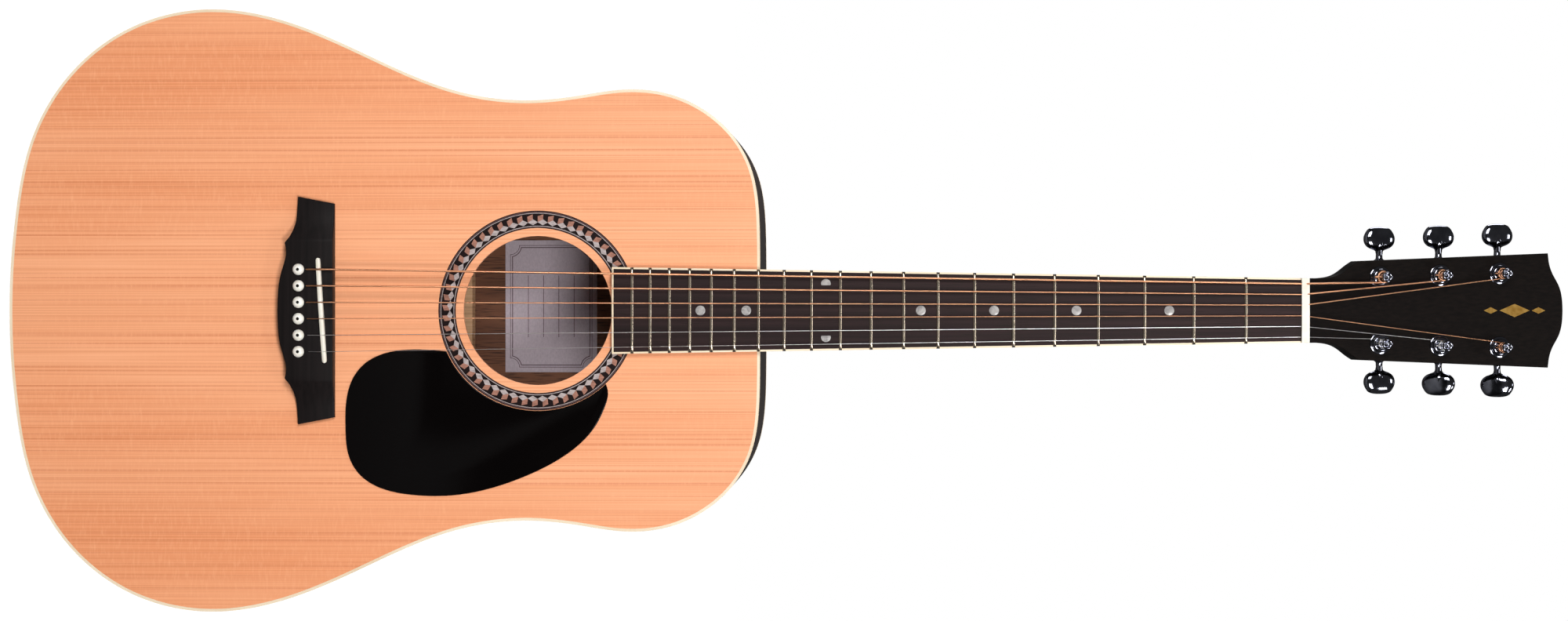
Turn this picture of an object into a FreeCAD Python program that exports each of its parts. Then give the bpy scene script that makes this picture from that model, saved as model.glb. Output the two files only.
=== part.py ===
"""Steel-string flat-top guitar, full size, in millimetres.

Frame: the origin is on the centre line, on the glue plane of the fingerboard, at the face of the nut
where the scale length starts. +Z runs up the neck to the headstock, -Y points out of the soundboard,
and +X is the side of the thin strings. The soundboard's outer face and the underside of the
fingerboard both lie in the plane Y = 0.
"""
import FreeCAD, Part
import math
import os
import Sketcher

Vector = FreeCAD.Vector
Rotation = FreeCAD.Rotation
Placement = FreeCAD.Placement

doc = FreeCAD.newDocument("guitar")
sizes = doc.addObject("Spreadsheet::Sheet", "sizes")

# Driving sizes, in millimetres and degrees.
DRIVING = {
    # scale, nut and fingerboard
    "scale_length": 650,
    "nut_width": 43,
    "nut_length": 5.5,
    "nut_top": 9.0,
    "board_overhang": 13.54,
    "board_end_width": 58.2,
    "board_thickness": 6.2,
    "board_crown": 400,
    "board_binding": 1.2,
    "fret_count": 20,
    "fret_width": 2.3,
    "fret_crown": 1.0,
    "tang_width": 0.6,
    "tang_depth": 1.8,
    "dot_diameter": 6.5,
    "dot_depth": 1.5,
    "twin_dot_spacing": 35.6,
    # body outline and depth
    "joint_fret": 14,
    "joint_above_fret": 0.85,
    "body_length": 509.1,
    "lower_bout": 407,
    "waist": 282.8,
    "upper_bout": 297,
    "lower_bout_from_tail": 138.3,
    "waist_from_tail": 356.7,
    "upper_bout_from_tail": 419.8,
    "depth_at_tail": 120,
    "depth_at_neck": 100,
    "back_arch": 4600,
    # plates, sides, bindings and linings
    "top_thickness": 2.8,
    "back_thickness": 2.6,
    "side_thickness": 2.4,
    "binding_width": 1.8,
    "binding_depth": 5.5,
    "lining_width": 6,
    "lining_depth": 13,
    "block_width": 78,
    "neck_block_length": 50,
    "tail_block_length": 22,
    "tenon_width": 20,
    "tenon_length": 14,
    "tenon_depth": 72,
    # soundhole, rosette, label and pickguard
    "soundhole_from_joint": 149.7,
    "soundhole_diameter": 100.3,
    "rosette_margin": 5.35,
    "rosette_width": 11.7,
    "rosette_depth": 1.2,
    "label_width": 94,
    "label_height": 66,
    "label_below_hole_centre": 4.5,
    "label_off_centre": 3,
    "label_thickness": 0.3,
    "pickguard_thickness": 1.0,
    "pickguard_gap": 0.3,
    # braces
    "cross_below_hole": 27.55,
    "cross_angle": 98,
    "brace_width": 8,
    "brace_height": 15,
    "tone_bar_width": 7,
    "tone_bar_height": 12,
    "transverse_width": 10,
    "transverse_height": 16,
    "transverse_from_joint": 74.4,
    "key_way": 8,
    "bridge_plate_thickness": 2.5,
    "back_brace_height": 14,
    # bridge, saddle and pins
    "bridge_height": 8.5,
    "bridge_wing_height": 3.8,
    "saddle_thickness": 3.1,
    "saddle_length": 70.8,
    "saddle_setback": 4.1,
    "saddle_slant": 3.7,
    "saddle_slot_depth": 5,
    "saddle_top": 12,
    "pins_behind_saddle": 15.5,
    "pin_spacing": 11.05,
    "pin_head": 7.8,
    "pin_head_height": 3.2,
    "pin_shank": 5.3,
    "pin_tip": 4.4,
    "pin_length": 22,
    "pin_clearance": 0.1,
    # neck and headstock
    "neck_depth_at_nut": 14.5,
    "neck_depth_at_body": 16,
    "heel_length": 66,
    "heel_width": 27,
    "heel_cap_length": 15,
    "heel_cap_thickness": 1.8,
    "headstock_angle": 14,
    "headstock_length": 183.3,
    "headstock_thickness": 13.5,
    "headstock_width": 77.6,
    "shoulder_width": 66.2,
    "shoulder_run": 35.5,
    "veneer_thickness": 1.5,
    # truss rod
    "rod_diameter": 6,
    "rod_below_board": 7.5,
    "rod_clearance": 0.1,
    "rod_start": 14,
    "rod_nut_across_flats": 7,
    "rod_nut_length": 12,
    "rod_key_across_flats": 4,
    "rod_thread": 5,
    # strings
    "string_edge_at_nut": 3.9,
    "string_above_fret": 0.45,
    "string_clearance": 0.12,
    "string_bend": 3,
    "ball_diameter": 3.9,
    # end pin
    "end_pin_depth": 58,
    "end_pin_neck": 8,
    "end_pin_head": 14,
    "end_pin_reach": 13,
    "end_pin_shank": 9,
    "end_pin_shank_length": 24,
    # tuners
    "tuner_first": 50.4,
    "tuner_spacing": 43.2,
    "tuner_row_half": 22.2,
    "tuner_row_flare": 1.35,
    "post_diameter": 6,
    "post_top": 14.5,
    "post_waist": 5.6,
    "post_hole": 2.0,
    "post_hole_height": 9.6,
    "running_fit": 0.06,
    "bushing_shank": 9.8,
    "bushing_head": 9.4,
    "bushing_head_height": 2.4,
    "washer_diameter": 14.6,
    "washer_thickness": 0.9,
    "housing_length": 25,
    "housing_width": 17,
    "housing_depth": 11.5,
    "housing_wall": 1.4,
    "wheel_diameter": 11,
    "wheel_thickness": 4.5,
    "worm_offset": 8.8,
    "worm_diameter": 5.8,
    "worm_length": 10,
    "gear_clearance": 0.35,
    "key_shaft": 4,
    "collar_diameter": 7.4,
    "collar_length": 3.2,
    "button_start": 17.6,
    "button_width": 22.5,
    "button_height": 15.6,
    "button_thickness": 7.5,
    "screw_head": 4.6,
    "screw_shank": 2.2,
    "screw_length": 9,
}
for row, (name, number) in enumerate(DRIVING.items(), start=1):
    sizes.set(f"A{row}", name)
    sizes.set(f"B{row}", str(number))
    sizes.setAlias(f"B{row}", name)
doc.recompute()

# The neck joint and the soundhole, measured down from the nut, for use in expressions.
JOINT_DROP = "(sizes.scale_length * (1 - 2 ^ (-sizes.joint_fret / 12)) - sizes.joint_above_fret)"
HOLE_DROP = f"({JOINT_DROP} + sizes.soundhole_from_joint)"
STRING_DIAMETERS = [1.35, 1.07, 0.81, 0.61, 0.41, 0.305]   # low E to high E
BUTTON_TURNS = [0, 0, 0, 27, 33, 0]     # how far each button stands from flat, in degrees
NODES = []


def size(name):
    """A driving size read from the sheet."""
    return float(getattr(sizes, name))


def fret_z(number):
    """The height of a fret: each one shortens the string by the twelfth root of two."""
    return -size("scale_length") * (1 - 2 ** (-number / 12))


def node(piece, name):
    """Names a finished sub-part, whose shape is written to its own file."""
    piece.Label = name
    NODES.append(piece)
    return piece


def feature(name, shape, place=None):
    """A document object that holds a shape made with Part's own functions."""
    piece = doc.addObject("Part::Feature", name)
    piece.Shape = shape
    if place is not None:
        piece.Placement = place
    return piece


def cut(name, base, tools):
    """A Part::Cut of a base with one tool, or with several joined in a compound."""
    tool = tools[0]
    if len(tools) > 1:
        tool = doc.addObject("Part::Compound", name + "_tools")
        tool.Links = tools
    piece = doc.addObject("Part::Cut", name)
    piece.Base = base
    piece.Tool = tool
    return piece


def common(name, base, tool):
    """A Part::Common of two objects."""
    piece = doc.addObject("Part::Common", name)
    piece.Base = base
    piece.Tool = tool
    return piece


def group(name, links):
    """A node that holds several like pieces as separate solids."""
    piece = doc.addObject("Part::Compound", name + "_group")
    piece.Links = links
    return node(piece, name)


def plane_of(body, role):
    """One of a body's own origin planes."""
    return next(item for item in body.Origin.OriginFeatures if item.Role == role)


def polygon(sketch, corners):
    """Closes straight lines through corners, each corner held by two expressions of the sheet."""
    points = [Vector(sketch.evalExpression(x), sketch.evalExpression(y), 0) for x, y in corners]
    first = sketch.GeometryCount
    count = len(corners)
    for index, point in enumerate(points):
        sketch.addGeometry(Part.LineSegment(point, points[(index + 1) % count]))
    for index, point in enumerate(points):
        line = first + index
        following = first + (index + 1) % count
        sketch.addConstraint(Sketcher.Constraint("Coincident", line, 2, following, 1))
        for kind, number, words in zip(("DistanceX", "DistanceY"), (point.x, point.y), corners[index]):
            held = sketch.addConstraint(Sketcher.Constraint(kind, -1, 1, line, 1, number))
            sketch.setExpression(f"Constraints[{held}]", words)


def circle(sketch, centre_x, centre_y, radius):
    """A circle whose centre and radius are expressions of the sheet."""
    x, y, r = (sketch.evalExpression(words) for words in (centre_x, centre_y, radius))
    index = sketch.addGeometry(Part.Circle(Vector(x, y, 0), Vector(0, 0, 1), r))
    rules = (("DistanceX", x, centre_x), ("DistanceY", y, centre_y))
    for kind, number, words in rules:
        held = sketch.addConstraint(Sketcher.Constraint(kind, -1, 1, index, 3, number))
        sketch.setExpression(f"Constraints[{held}]", words)
    held = sketch.addConstraint(Sketcher.Constraint("Radius", index, r))
    sketch.setExpression(f"Constraints[{held}]", radius)


def sketch_on(body, role, lift="0"):
    """A sketch on one of the body's origin planes, lifted along its normal."""
    sketch = body.newObject("Sketcher::SketchObject", body.Name + "_sketch")
    sketch.AttachmentSupport = [(plane_of(body, role), "")]
    sketch.MapMode = "FlatFace"
    sketch.setExpression("AttachmentOffset.Base.z", lift)
    return sketch


def new_body(name, place=Placement()):
    """An empty PartDesign body at a place."""
    body = doc.addObject("PartDesign::Body", name)
    body.Placement = place
    return body


def pad(body, sketch, length, reverse=False):
    """Pads a sketch by a length given as an expression."""
    step = body.newObject("PartDesign::Pad", body.Name + "_pad")
    step.Profile = sketch
    step.setExpression("Length", length)
    step.Reversed = reverse
    return step


def pocket_through(body, sketch):
    """Pockets a sketch through the whole body, both ways."""
    doc.recompute()
    step = body.newObject("PartDesign::Pocket", body.Name + "_pocket")
    step.Profile = sketch
    step.Type = "ThroughAll"
    step.SideType = "Two sides"
    step.Type2 = "ThroughAll"
    return step


def turned(name, outline, place=Placement()):
    """A piece turned about its own Z axis from an outline of (radius, height) expressions."""
    body = new_body(name, place)
    sketch = sketch_on(body, "XZ_Plane")
    polygon(sketch, outline)
    turn = body.newObject("PartDesign::Revolution", name + "_turn")
    turn.Profile = sketch
    turn.ReferenceAxis = (sketch, ["V_Axis"])
    turn.Angle = 360
    return body


def plate(name, corners, thickness, role="XZ_Plane", lift="0", place=Placement(), reverse=False):
    """A flat piece: a polygon of expressions padded along its plane's normal."""
    body = new_body(name, place)
    sketch = sketch_on(body, role, lift)
    polygon(sketch, corners)
    pad(body, sketch, thickness, reverse)
    return body


def face_through(points, closed_by_line=False):
    """A flat face bounded by one smooth curve through points, closed by itself or by a line."""
    curve = Part.BSplineCurve()
    if closed_by_line:
        curve.interpolate(points)
        edges = [curve.toShape(), Part.LineSegment(points[-1], points[0]).toShape()]
        return Part.Face(Part.Wire(edges))
    curve.interpolate(Points=points, PeriodicFlag=True)
    return Part.Face(Part.Wire([curve.toShape()]))


def rounded_path(points, bend):
    """Straight runs between points, joined by tangent arcs of one radius."""
    edges = []
    start = points[0]
    for before, corner, after in zip(points, points[1:], points[2:]):
        arriving = (corner - before).normalize()
        leaving = (after - corner).normalize()
        turn = arriving.getAngle(leaving)
        reach = bend * math.tan(turn / 2)
        entry = corner - arriving * reach
        leave = corner + leaving * reach
        inward = (leaving - arriving).normalize()
        middle = corner + inward * (bend / math.cos(turn / 2) - bend)
        edges.append(Part.LineSegment(start, entry).toShape())
        edges.append(Part.Arc(entry, middle, leave).toShape())
        start = leave
    edges.append(Part.LineSegment(start, points[-1]).toShape())
    return Part.Wire(edges)


def tube(points, radius, bend=1.0):
    """A round rod along straight runs joined by tangent arcs."""
    path = rounded_path(points, bend)
    along = (points[1] - points[0]).normalize()
    profile = Part.Wire(Part.makeCircle(radius, points[0], along))
    sweep = Part.BRepOffsetAPI.MakePipeShell(path)
    sweep.add(profile)
    sweep.build()
    sweep.makeSolid()
    return sweep.shape()


# ---------------------------------------------------------------------------------- body outline
JOINT = fret_z(size("joint_fret")) + size("joint_above_fret")
TAIL = JOINT - size("body_length")
BACK_RADIUS = size("back_arch")


def region(from_tail_low, from_tail_high, width_low, width_high, shape):
    """Outline points between two stations: each is (share of the run, share of the widening)."""
    return [
        Vector(
            (width_low + share_out * (width_high - width_low)) / 2,
            0,
            TAIL + from_tail_low + share_up * (from_tail_high - from_tail_low),
        )
        for share_up, share_out in shape
    ]


def half_outline():
    """The treble half of the body's edge, from the tail up to the neck."""
    lower = size("lower_bout_from_tail")
    waist = size("waist_from_tail")
    upper = size("upper_bout_from_tail")
    tail_curve = [(0.0, 0.0), (0.0115, 0.197), (0.0245, 0.285), (0.107, 0.565), (0.265, 0.759),
                  (0.575, 0.932), (1.0, 1.0)]
    flank = [(0.171, 0.923), (0.366, 0.686), (0.561, 0.369), (0.755, 0.108), (1.0, 0.0)]
    shoulder = [(0.498, 0.437), (1.0, 1.0)]
    crown = [(0.354, 0.971), (0.590, 0.902), (0.797, 0.789), (0.930, 0.646), (0.988, 0.462), (0.998, 0.3),
             (1.0, 0.0)]
    points = region(0, lower, 0, size("lower_bout"), tail_curve)
    points += region(lower, waist, size("waist"), size("lower_bout"), flank)
    points += region(waist, upper, size("waist"), size("upper_bout"), shoulder)
    points += region(upper, size("body_length"), 0, size("upper_bout"), crown)
    return points


def body_curve():
    """The closed curve of the body's edge in the plane Y = 0."""
    treble = half_outline()
    bass = [Vector(-point.x, 0, point.z) for point in reversed(treble[1:-1])]
    curve = Part.BSplineCurve()
    curve.interpolate(Points=treble + bass, PeriodicFlag=True)
    return curve


EDGE = body_curve()
EDGE_SAMPLES = 96


def edge_face(inset):
    """The face inside the body's edge, drawn in by an inset square to the edge."""
    if inset == 0:
        return Part.Face(Part.Wire([EDGE.toShape()]))
    first = EDGE.FirstParameter
    step = (EDGE.LastParameter - first) / EDGE_SAMPLES
    points = []
    for index in range(EDGE_SAMPLES):
        here = EDGE.value(first + index * step)
        along = EDGE.tangent(first + index * step)[0]
        inward = Vector(along.z, 0, -along.x)
        if inward.dot(Vector(0, 0, (TAIL + JOINT) / 2) - here) < 0:
            inward = inward * -1
        points.append(here + inward * inset)
    return face_through(points)


def prism(inset, low, high):
    """The space inside the body's edge drawn in by an inset, between two depths behind the front."""
    face = edge_face(inset)
    face.translate(Vector(0, low, 0))
    return face.extrude(Vector(0, high - low, 0))


def back_ball(depth):
    """A ball whose surface lies a depth inside the arched back."""
    tail_depth = size("depth_at_tail")
    neck_depth = size("depth_at_neck")
    middle = (JOINT + TAIL) / 2 - BACK_RADIUS * (tail_depth - neck_depth) / (JOINT - TAIL)
    half_chord = TAIL - middle
    centre = Vector(0, tail_depth - math.sqrt(BACK_RADIUS ** 2 - half_chord ** 2), middle)
    return Part.makeSphere(BACK_RADIUS - depth, centre, Vector(0, 1, 0), -90, 90, 360)


SIDE = size("side_thickness")
TOP = size("top_thickness")
BACK = size("back_thickness")
BIND = size("binding_width")
BIND_DEPTH = size("binding_depth")
LINED = SIDE + size("lining_width")
DEEP = size("depth_at_tail") + 20       # past the back everywhere


def ring(outer_inset, inner_inset, low, high):
    """A band that follows the body's edge between two insets and two depths."""
    return prism(outer_inset, low, high).cut(prism(inner_inset, low - 1, high + 1))


def round_hole(x, z, radius, low, high):
    """A cylinder along Y between two depths behind the front."""
    return Part.makeCylinder(radius, high - low, Vector(x, low, z), Vector(0, 1, 0))


# ------------------------------------------------------------------------------- strings' places
STRING_COUNT = len(STRING_DIAMETERS)
SOUNDHOLE_Z = JOINT - size("soundhole_from_joint")
ROSETTE_INSIDE = size("soundhole_diameter") / 2 + size("rosette_margin")
ROSETTE_OUTSIDE = ROSETTE_INSIDE + size("rosette_width")
SADDLE_Z = -size("scale_length") - size("saddle_setback")
PINS_Z = SADDLE_Z - size("pins_behind_saddle")
PIN_X = [(index - (STRING_COUNT - 1) / 2) * size("pin_spacing") for index in range(STRING_COUNT)]
NUT_SPREAD = size("nut_width") - 2 * size("string_edge_at_nut")
NUT_X = [(index / (STRING_COUNT - 1) - 0.5) * NUT_SPREAD for index in range(STRING_COUNT)]
CHANNEL_RADIUS = max(STRING_DIAMETERS) / 2 + size("string_clearance") * 2
CHANNEL_AHEAD = size("pin_shank") / 2 + 0.25      # the string's hole centre, ahead of its pin's centre


def saddle_point(x, lift):
    """The point over the saddle's crest at a string, a lift above it."""
    slant = math.radians(size("saddle_slant"))
    drop = size("board_crown") - math.sqrt(size("board_crown") ** 2 - x ** 2)
    return Vector(x, drop - size("saddle_top") - lift, SADDLE_Z + x * math.tan(slant))


def nut_point(index):
    """Where a string's centre line bends over the nut."""
    over_fret = size("board_thickness") + size("fret_crown") + size("string_above_fret")
    x = NUT_X[index]
    drop = size("board_crown") - math.sqrt(size("board_crown") ** 2 - x ** 2)
    return Vector(x, drop - over_fret - STRING_DIAMETERS[index] / 2, size("nut_length") / 4)


def bridge_run(index, start_depth):
    """A string's way from below the top, up through the bridge, to the saddle's crest."""
    x = PIN_X[index]
    ahead = PINS_Z + CHANNEL_AHEAD
    return [
        Vector(x, start_depth, ahead),
        Vector(x, 1.2 - size("bridge_height"), ahead),
        saddle_point(x, STRING_DIAMETERS[index] / 2),
    ]


under_plate = size("top_thickness") + size("bridge_plate_thickness")
channels = []
for index in range(STRING_COUNT):
    channel = tube(bridge_run(index, under_plate + 4), CHANNEL_RADIUS, size("string_bend"))
    channels.append(feature(f"string_channel_{index + 1}", channel))
pin_holes = []
for index in range(STRING_COUNT):
    radius = size("pin_shank") / 2 + size("pin_clearance")
    hole = round_hole(PIN_X[index], PINS_Z, radius, -size("saddle_top"), under_plate + 1)
    pin_holes.append(feature(f"pin_hole_{index + 1}", hole))

# ------------------------------------------------------------------------------------ soundboard
soundhole = doc.addObject("Part::Cylinder", "soundhole")
soundhole.setExpression("Radius", "sizes.soundhole_diameter / 2")
soundhole.setExpression("Height", "sizes.top_thickness * 3")
soundhole.Placement = Placement(Vector(0, -TOP, SOUNDHOLE_Z), Rotation(Vector(1, 0, 0), -90))

rosette = new_body("rosette_body")
rosette_sketch = sketch_on(rosette, "XZ_Plane", "-sizes.rosette_depth")
INSIDE_RADIUS = "sizes.soundhole_diameter / 2 + sizes.rosette_margin"
circle(rosette_sketch, "0", f"-{HOLE_DROP}", INSIDE_RADIUS)
circle(rosette_sketch, "0", f"-{HOLE_DROP}", INSIDE_RADIUS + " + sizes.rosette_width")
pad(rosette, rosette_sketch, "sizes.rosette_depth")
node(rosette, "rosette")

top_blank = feature("top_blank", prism(BIND, 0, TOP))
node(cut("soundboard_cut", top_blank, [soundhole, rosette] + pin_holes + channels), "soundboard")

# ------------------------------------------------------------------------- back, sides, bindings
outer_ball = back_ball(0)
inner_ball = back_ball(BACK)
back_shell = outer_ball.cut(inner_ball)
node(feature("back_shell", prism(BIND, TOP, DEEP).common(back_shell)), "back_plate")

top_binding_ring = ring(0, BIND, 0, BIND_DEPTH)
back_binding_ring = ring(0, BIND, TOP, DEEP).common(outer_ball.cut(back_ball(BIND_DEPTH)))

TENON_HALF = size("tenon_width") / 2
tenon_box = Part.makeBox(
    2 * TENON_HALF,
    size("tenon_depth"),
    size("tenon_length") + 20,
    Vector(-TENON_HALF, TOP, JOINT - size("tenon_length")),
)
node(feature("top_edging", top_binding_ring.cut(tenon_box)), "top_binding")
node(feature("back_edging", back_binding_ring), "back_binding")

end_pin_hole = Part.makeCylinder(
    size("end_pin_shank") / 2, 60, Vector(0, size("end_pin_depth"), TAIL - 10), Vector(0, 0, 1)
)
rib_band = ring(0, SIDE, TOP, DEEP).common(inner_ball)
rib_band = rib_band.cut([top_binding_ring, back_binding_ring, tenon_box, end_pin_hole])
half_space = Part.makeBox(
    size("lower_bout"), 2 * DEEP, 2 * size("body_length"), Vector(0, -DEEP, TAIL - size("body_length") / 2)
)
node(feature("treble_rib", rib_band.common(half_space)), "side_treble")
node(feature("bass_rib", rib_band.cut(half_space)), "side_bass")

# ---------------------------------------------------------------------- blocks, linings and rod
ROD_Y = size("rod_below_board")
BLOCK_HALF = size("block_width") / 2
BLOCK_END = JOINT - size("neck_block_length")
cavity = prism(SIDE, TOP, DEEP).common(inner_ball)


def block(low, high):
    """A block that fills the inside of the body between two heights."""
    return cavity.common(Part.makeBox(2 * BLOCK_HALF, DEEP, high - low, Vector(-BLOCK_HALF, 0, low)))


rod_hole = Part.makeCylinder(
    size("rod_diameter") / 2 + size("rod_clearance"), -2 * JOINT,
    Vector(0, ROD_Y, BLOCK_END - 30), Vector(0, 0, 1),
)
neck_block_shape = block(BLOCK_END, JOINT + 5).cut([tenon_box, rod_hole])
tail_block_shape = block(TAIL - 5, TAIL + size("tail_block_length")).cut(end_pin_hole)
node(feature("upper_block", neck_block_shape), "neck_block")
node(feature("lower_block", tail_block_shape), "tail_block")

lining_band = ring(SIDE, LINED, TOP, DEEP).common(inner_ball)
block_space = [block(BLOCK_END, JOINT + 5), block(TAIL - 5, TAIL + size("tail_block_length"))]
top_lining_space = prism(0, TOP, TOP + size("lining_depth"))
back_lining_space = back_ball(BACK + size("lining_depth"))
node(feature("top_strip", lining_band.common(top_lining_space).cut(block_space)), "top_lining")
node(feature("back_strip", lining_band.cut([back_lining_space] + block_space)), "back_lining")

# ----------------------------------------------------------------------------------- top braces
brace_space = prism(LINED, TOP, DEEP)


def brace(start, end, width, height):
    """A bar glued under the soundboard between two (x, z) points, thinned towards both ends."""
    along = Vector(end[0] - start[0], 0, end[1] - start[1])
    length = along.Length
    across = Vector(along.z, 0, -along.x).normalize() * width
    ramp = length * 0.22
    profile = [(0, 0), (length, 0), (length, height * 0.3), (length - ramp, height),
               (ramp, height), (0, height * 0.3)]
    corners = [
        Vector(start[0], TOP, start[1]) - across / 2 + along * (run / length) + Vector(0, depth, 0)
        for run, depth in profile
    ]
    return Part.Face(Part.makePolygon(corners + corners[:1])).extrude(across)


def arm_end(side, up):
    """The far end of one arm of the cross, well past the linings."""
    half_angle = math.radians(size("cross_angle") / 2)
    reach = size("lower_bout") * 0.62 if up < 0 else size("upper_bout") * 0.66
    return (side * reach * math.sin(half_angle), CROSS_Z + up * reach * math.cos(half_angle))


CROSS_Z = SOUNDHOLE_Z - size("soundhole_diameter") / 2 - size("cross_below_hole")
BRACE = (size("brace_width"), size("brace_height"))
first_arm = brace(arm_end(-1, 1), arm_end(1, -1), *BRACE).common(brace_space)
second_arm = brace(arm_end(1, 1), arm_end(-1, -1), *BRACE).common(brace_space)
crossing = first_arm.common(second_arm)
half_lap = TOP + size("brace_height") / 2
upper_lap = crossing.common(Part.makeBox(200, half_lap, 200, Vector(-100, 0, CROSS_Z - 100)))
lower_lap = crossing.cut(upper_lap)
lapped = Part.makeCompound([first_arm.cut(lower_lap), second_arm.cut(upper_lap)])
node(feature("crossed_bars", lapped), "x_braces")

TONE = (size("tone_bar_width"), size("tone_bar_height"))
ARM_SLOPE = math.tan(math.radians(size("cross_angle") / 2))


def arm_x(z):
    """How far out the lower arms of the cross stand at a height."""
    return (CROSS_Z - z) * ARM_SLOPE


# Two slanting tone bars behind the bridge, then two light finger bars outside each lower arm.
tone_bars = [
    brace((arm_x(PINS_Z - 32.4) - 21, PINS_Z - 32.4), (-112, PINS_Z - 107.4), *TONE),
    brace((arm_x(PINS_Z - 77.4) - 50, PINS_Z - 77.4), (-58, PINS_Z - 147.4), *TONE),
]
finger_bars = []
for side in (-1, 1):
    for drop, end_x, rise in ((35, 156, 23), (84, 190, 22)):
        start = (side * (arm_x(CROSS_Z - drop) + 20), CROSS_Z - drop)
        finger_bars.append(brace(start, (side * end_x, CROSS_Z - drop + rise), *TONE))
light_bars = [bar.common(brace_space).cut(block_space) for bar in tone_bars + finger_bars]
node(feature("light_bars", Part.makeCompound(light_bars)), "tone_bars")

TRANSVERSE_Z = JOINT - size("transverse_from_joint")
transverse = brace(
    (-size("upper_bout") / 2, TRANSVERSE_Z), (size("upper_bout") / 2, TRANSVERSE_Z),
    size("transverse_width"), size("transverse_height"),
).common(brace_space)
key_hole = Part.makeCylinder(
    size("key_way") / 2, 60, Vector(0, ROD_Y, TRANSVERSE_Z - 30), Vector(0, 0, 1)
)
node(feature("upper_bar", transverse.cut(key_hole)), "transverse_brace")

PLATE_TOP = PINS_Z + 21.6
PLATE_BASE = PINS_Z - 16.4


def plate_half(z):
    """How wide the bridge plate may be at a height before it meets the cross."""
    clear = size("brace_width") / 2 / math.cos(math.radians(size("cross_angle") / 2))
    return arm_x(z) - clear - 6


plate_corners = [
    Vector(-plate_half(PLATE_TOP), TOP, PLATE_TOP), Vector(plate_half(PLATE_TOP), TOP, PLATE_TOP),
    Vector(plate_half(PLATE_BASE), TOP, PLATE_BASE), Vector(-plate_half(PLATE_BASE), TOP, PLATE_BASE),
]
plate_blank = feature(
    "plate_blank",
    Part.Face(Part.makePolygon(plate_corners + plate_corners[:1])).extrude(
        Vector(0, size("bridge_plate_thickness"), 0)
    ),
)
node(cut("plate_cut", plate_blank, pin_holes + channels), "bridge_plate")

# ------------------------------------------------------------------------ back braces and label
# Two tall narrow bars above, two low wide ones below: (below the neck joint, width, share of height).
LADDER = [(60.4, 8, 1.0), (213.1, 8, 1.0), (322.4, 16, 0.67), (430.4, 16, 0.67)]
back_bars = []
for drop, width, share in LADDER:
    corner = Vector(-size("lower_bout") / 2, 0, JOINT - drop - width / 2)
    slab = Part.makeBox(size("lower_bout"), DEEP, width, corner)
    slab = slab.common(brace_space).common(inner_ball)
    back_bars.append(slab.cut(back_ball(BACK + size("back_brace_height") * share)))
node(feature("ladder_bars", Part.makeCompound(back_bars)), "back_braces")

label_block = Part.makeBox(
    size("label_width"), DEEP, size("label_height"),
    Vector(
        -size("label_off_centre") - size("label_width") / 2, 20,
        SOUNDHOLE_Z - size("label_below_hole_centre") - size("label_height") / 2,
    ),
)
paper = label_block.common(inner_ball).cut(back_ball(BACK + size("label_thickness")))
node(feature("paper", paper), "label")

# ------------------------------------------------------------------------------------ pickguard
GUARD_INSIDE = ROSETTE_OUTSIDE + size("pickguard_gap")
GUARD_CLEAR = 2         # least gap between the pickguard and the bridge
BRIDGE_HALF = 76.8
BRIDGE_FRONT = 23.1     # the bridge's neck-side edge, ahead of the pins


def round_hole_point(angle, out):
    """A point in the soundboard's face, at an angle round the soundhole and out from the guard's arc."""
    turn = math.radians(angle)
    reach = GUARD_INSIDE + out
    return Vector(reach * math.cos(turn), 0, SOUNDHOLE_Z + reach * math.sin(turn))


bridge_room = Part.makeBox(
    2 * (BRIDGE_HALF + GUARD_CLEAR), 2, BRIDGE_FRONT + GUARD_CLEAR + 40,
    Vector(-BRIDGE_HALF - GUARD_CLEAR, -1, PINS_Z - 40),
)


def pickguard_face():
    """Teardrop plate whose inner edge is an arc concentric with the rosette."""
    rim = [(43, 0), (41.7, 3.5), (34.2, 12.3), (26.4, 19.6), (16.2, 27.6), (5.3, 35.8), (-5.6, 45.6),
           (-15.3, 56.8), (-24.7, 69.4), (-32.4, 80.1), (-39, 89.4), (-43.8, 94.5), (-48.9, 95.9),
           (-53.5, 92.5), (-58.2, 85.5), (-64.7, 75.8), (-69.6, 66.5), (-73, 54.9), (-74.4, 40.7),
           (-74, 30.1), (-66, 0)]
    points = [round_hole_point(angle, out) for angle, out in rim]
    curve = Part.BSplineCurve()
    curve.interpolate(points)
    inner = Part.Arc(points[-1], round_hole_point(-10, 0), points[0])
    return Part.Face(Part.Wire([curve.toShape(), inner.toShape()])).cut(bridge_room).Faces[0]


guard_face = feature("guard_face", pickguard_face())
guard = doc.addObject("Part::Extrusion", "guard")
guard.Base = guard_face
guard.DirMode = "Custom"
guard.Dir = Vector(0, -1, 0)
guard.setExpression("LengthFwd", "sizes.pickguard_thickness")
guard.Solid = True
node(guard, "pickguard")

# -------------------------------------------------------------------------- bridge and saddle
WING_REST = -size("bridge_wing_height")


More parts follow.
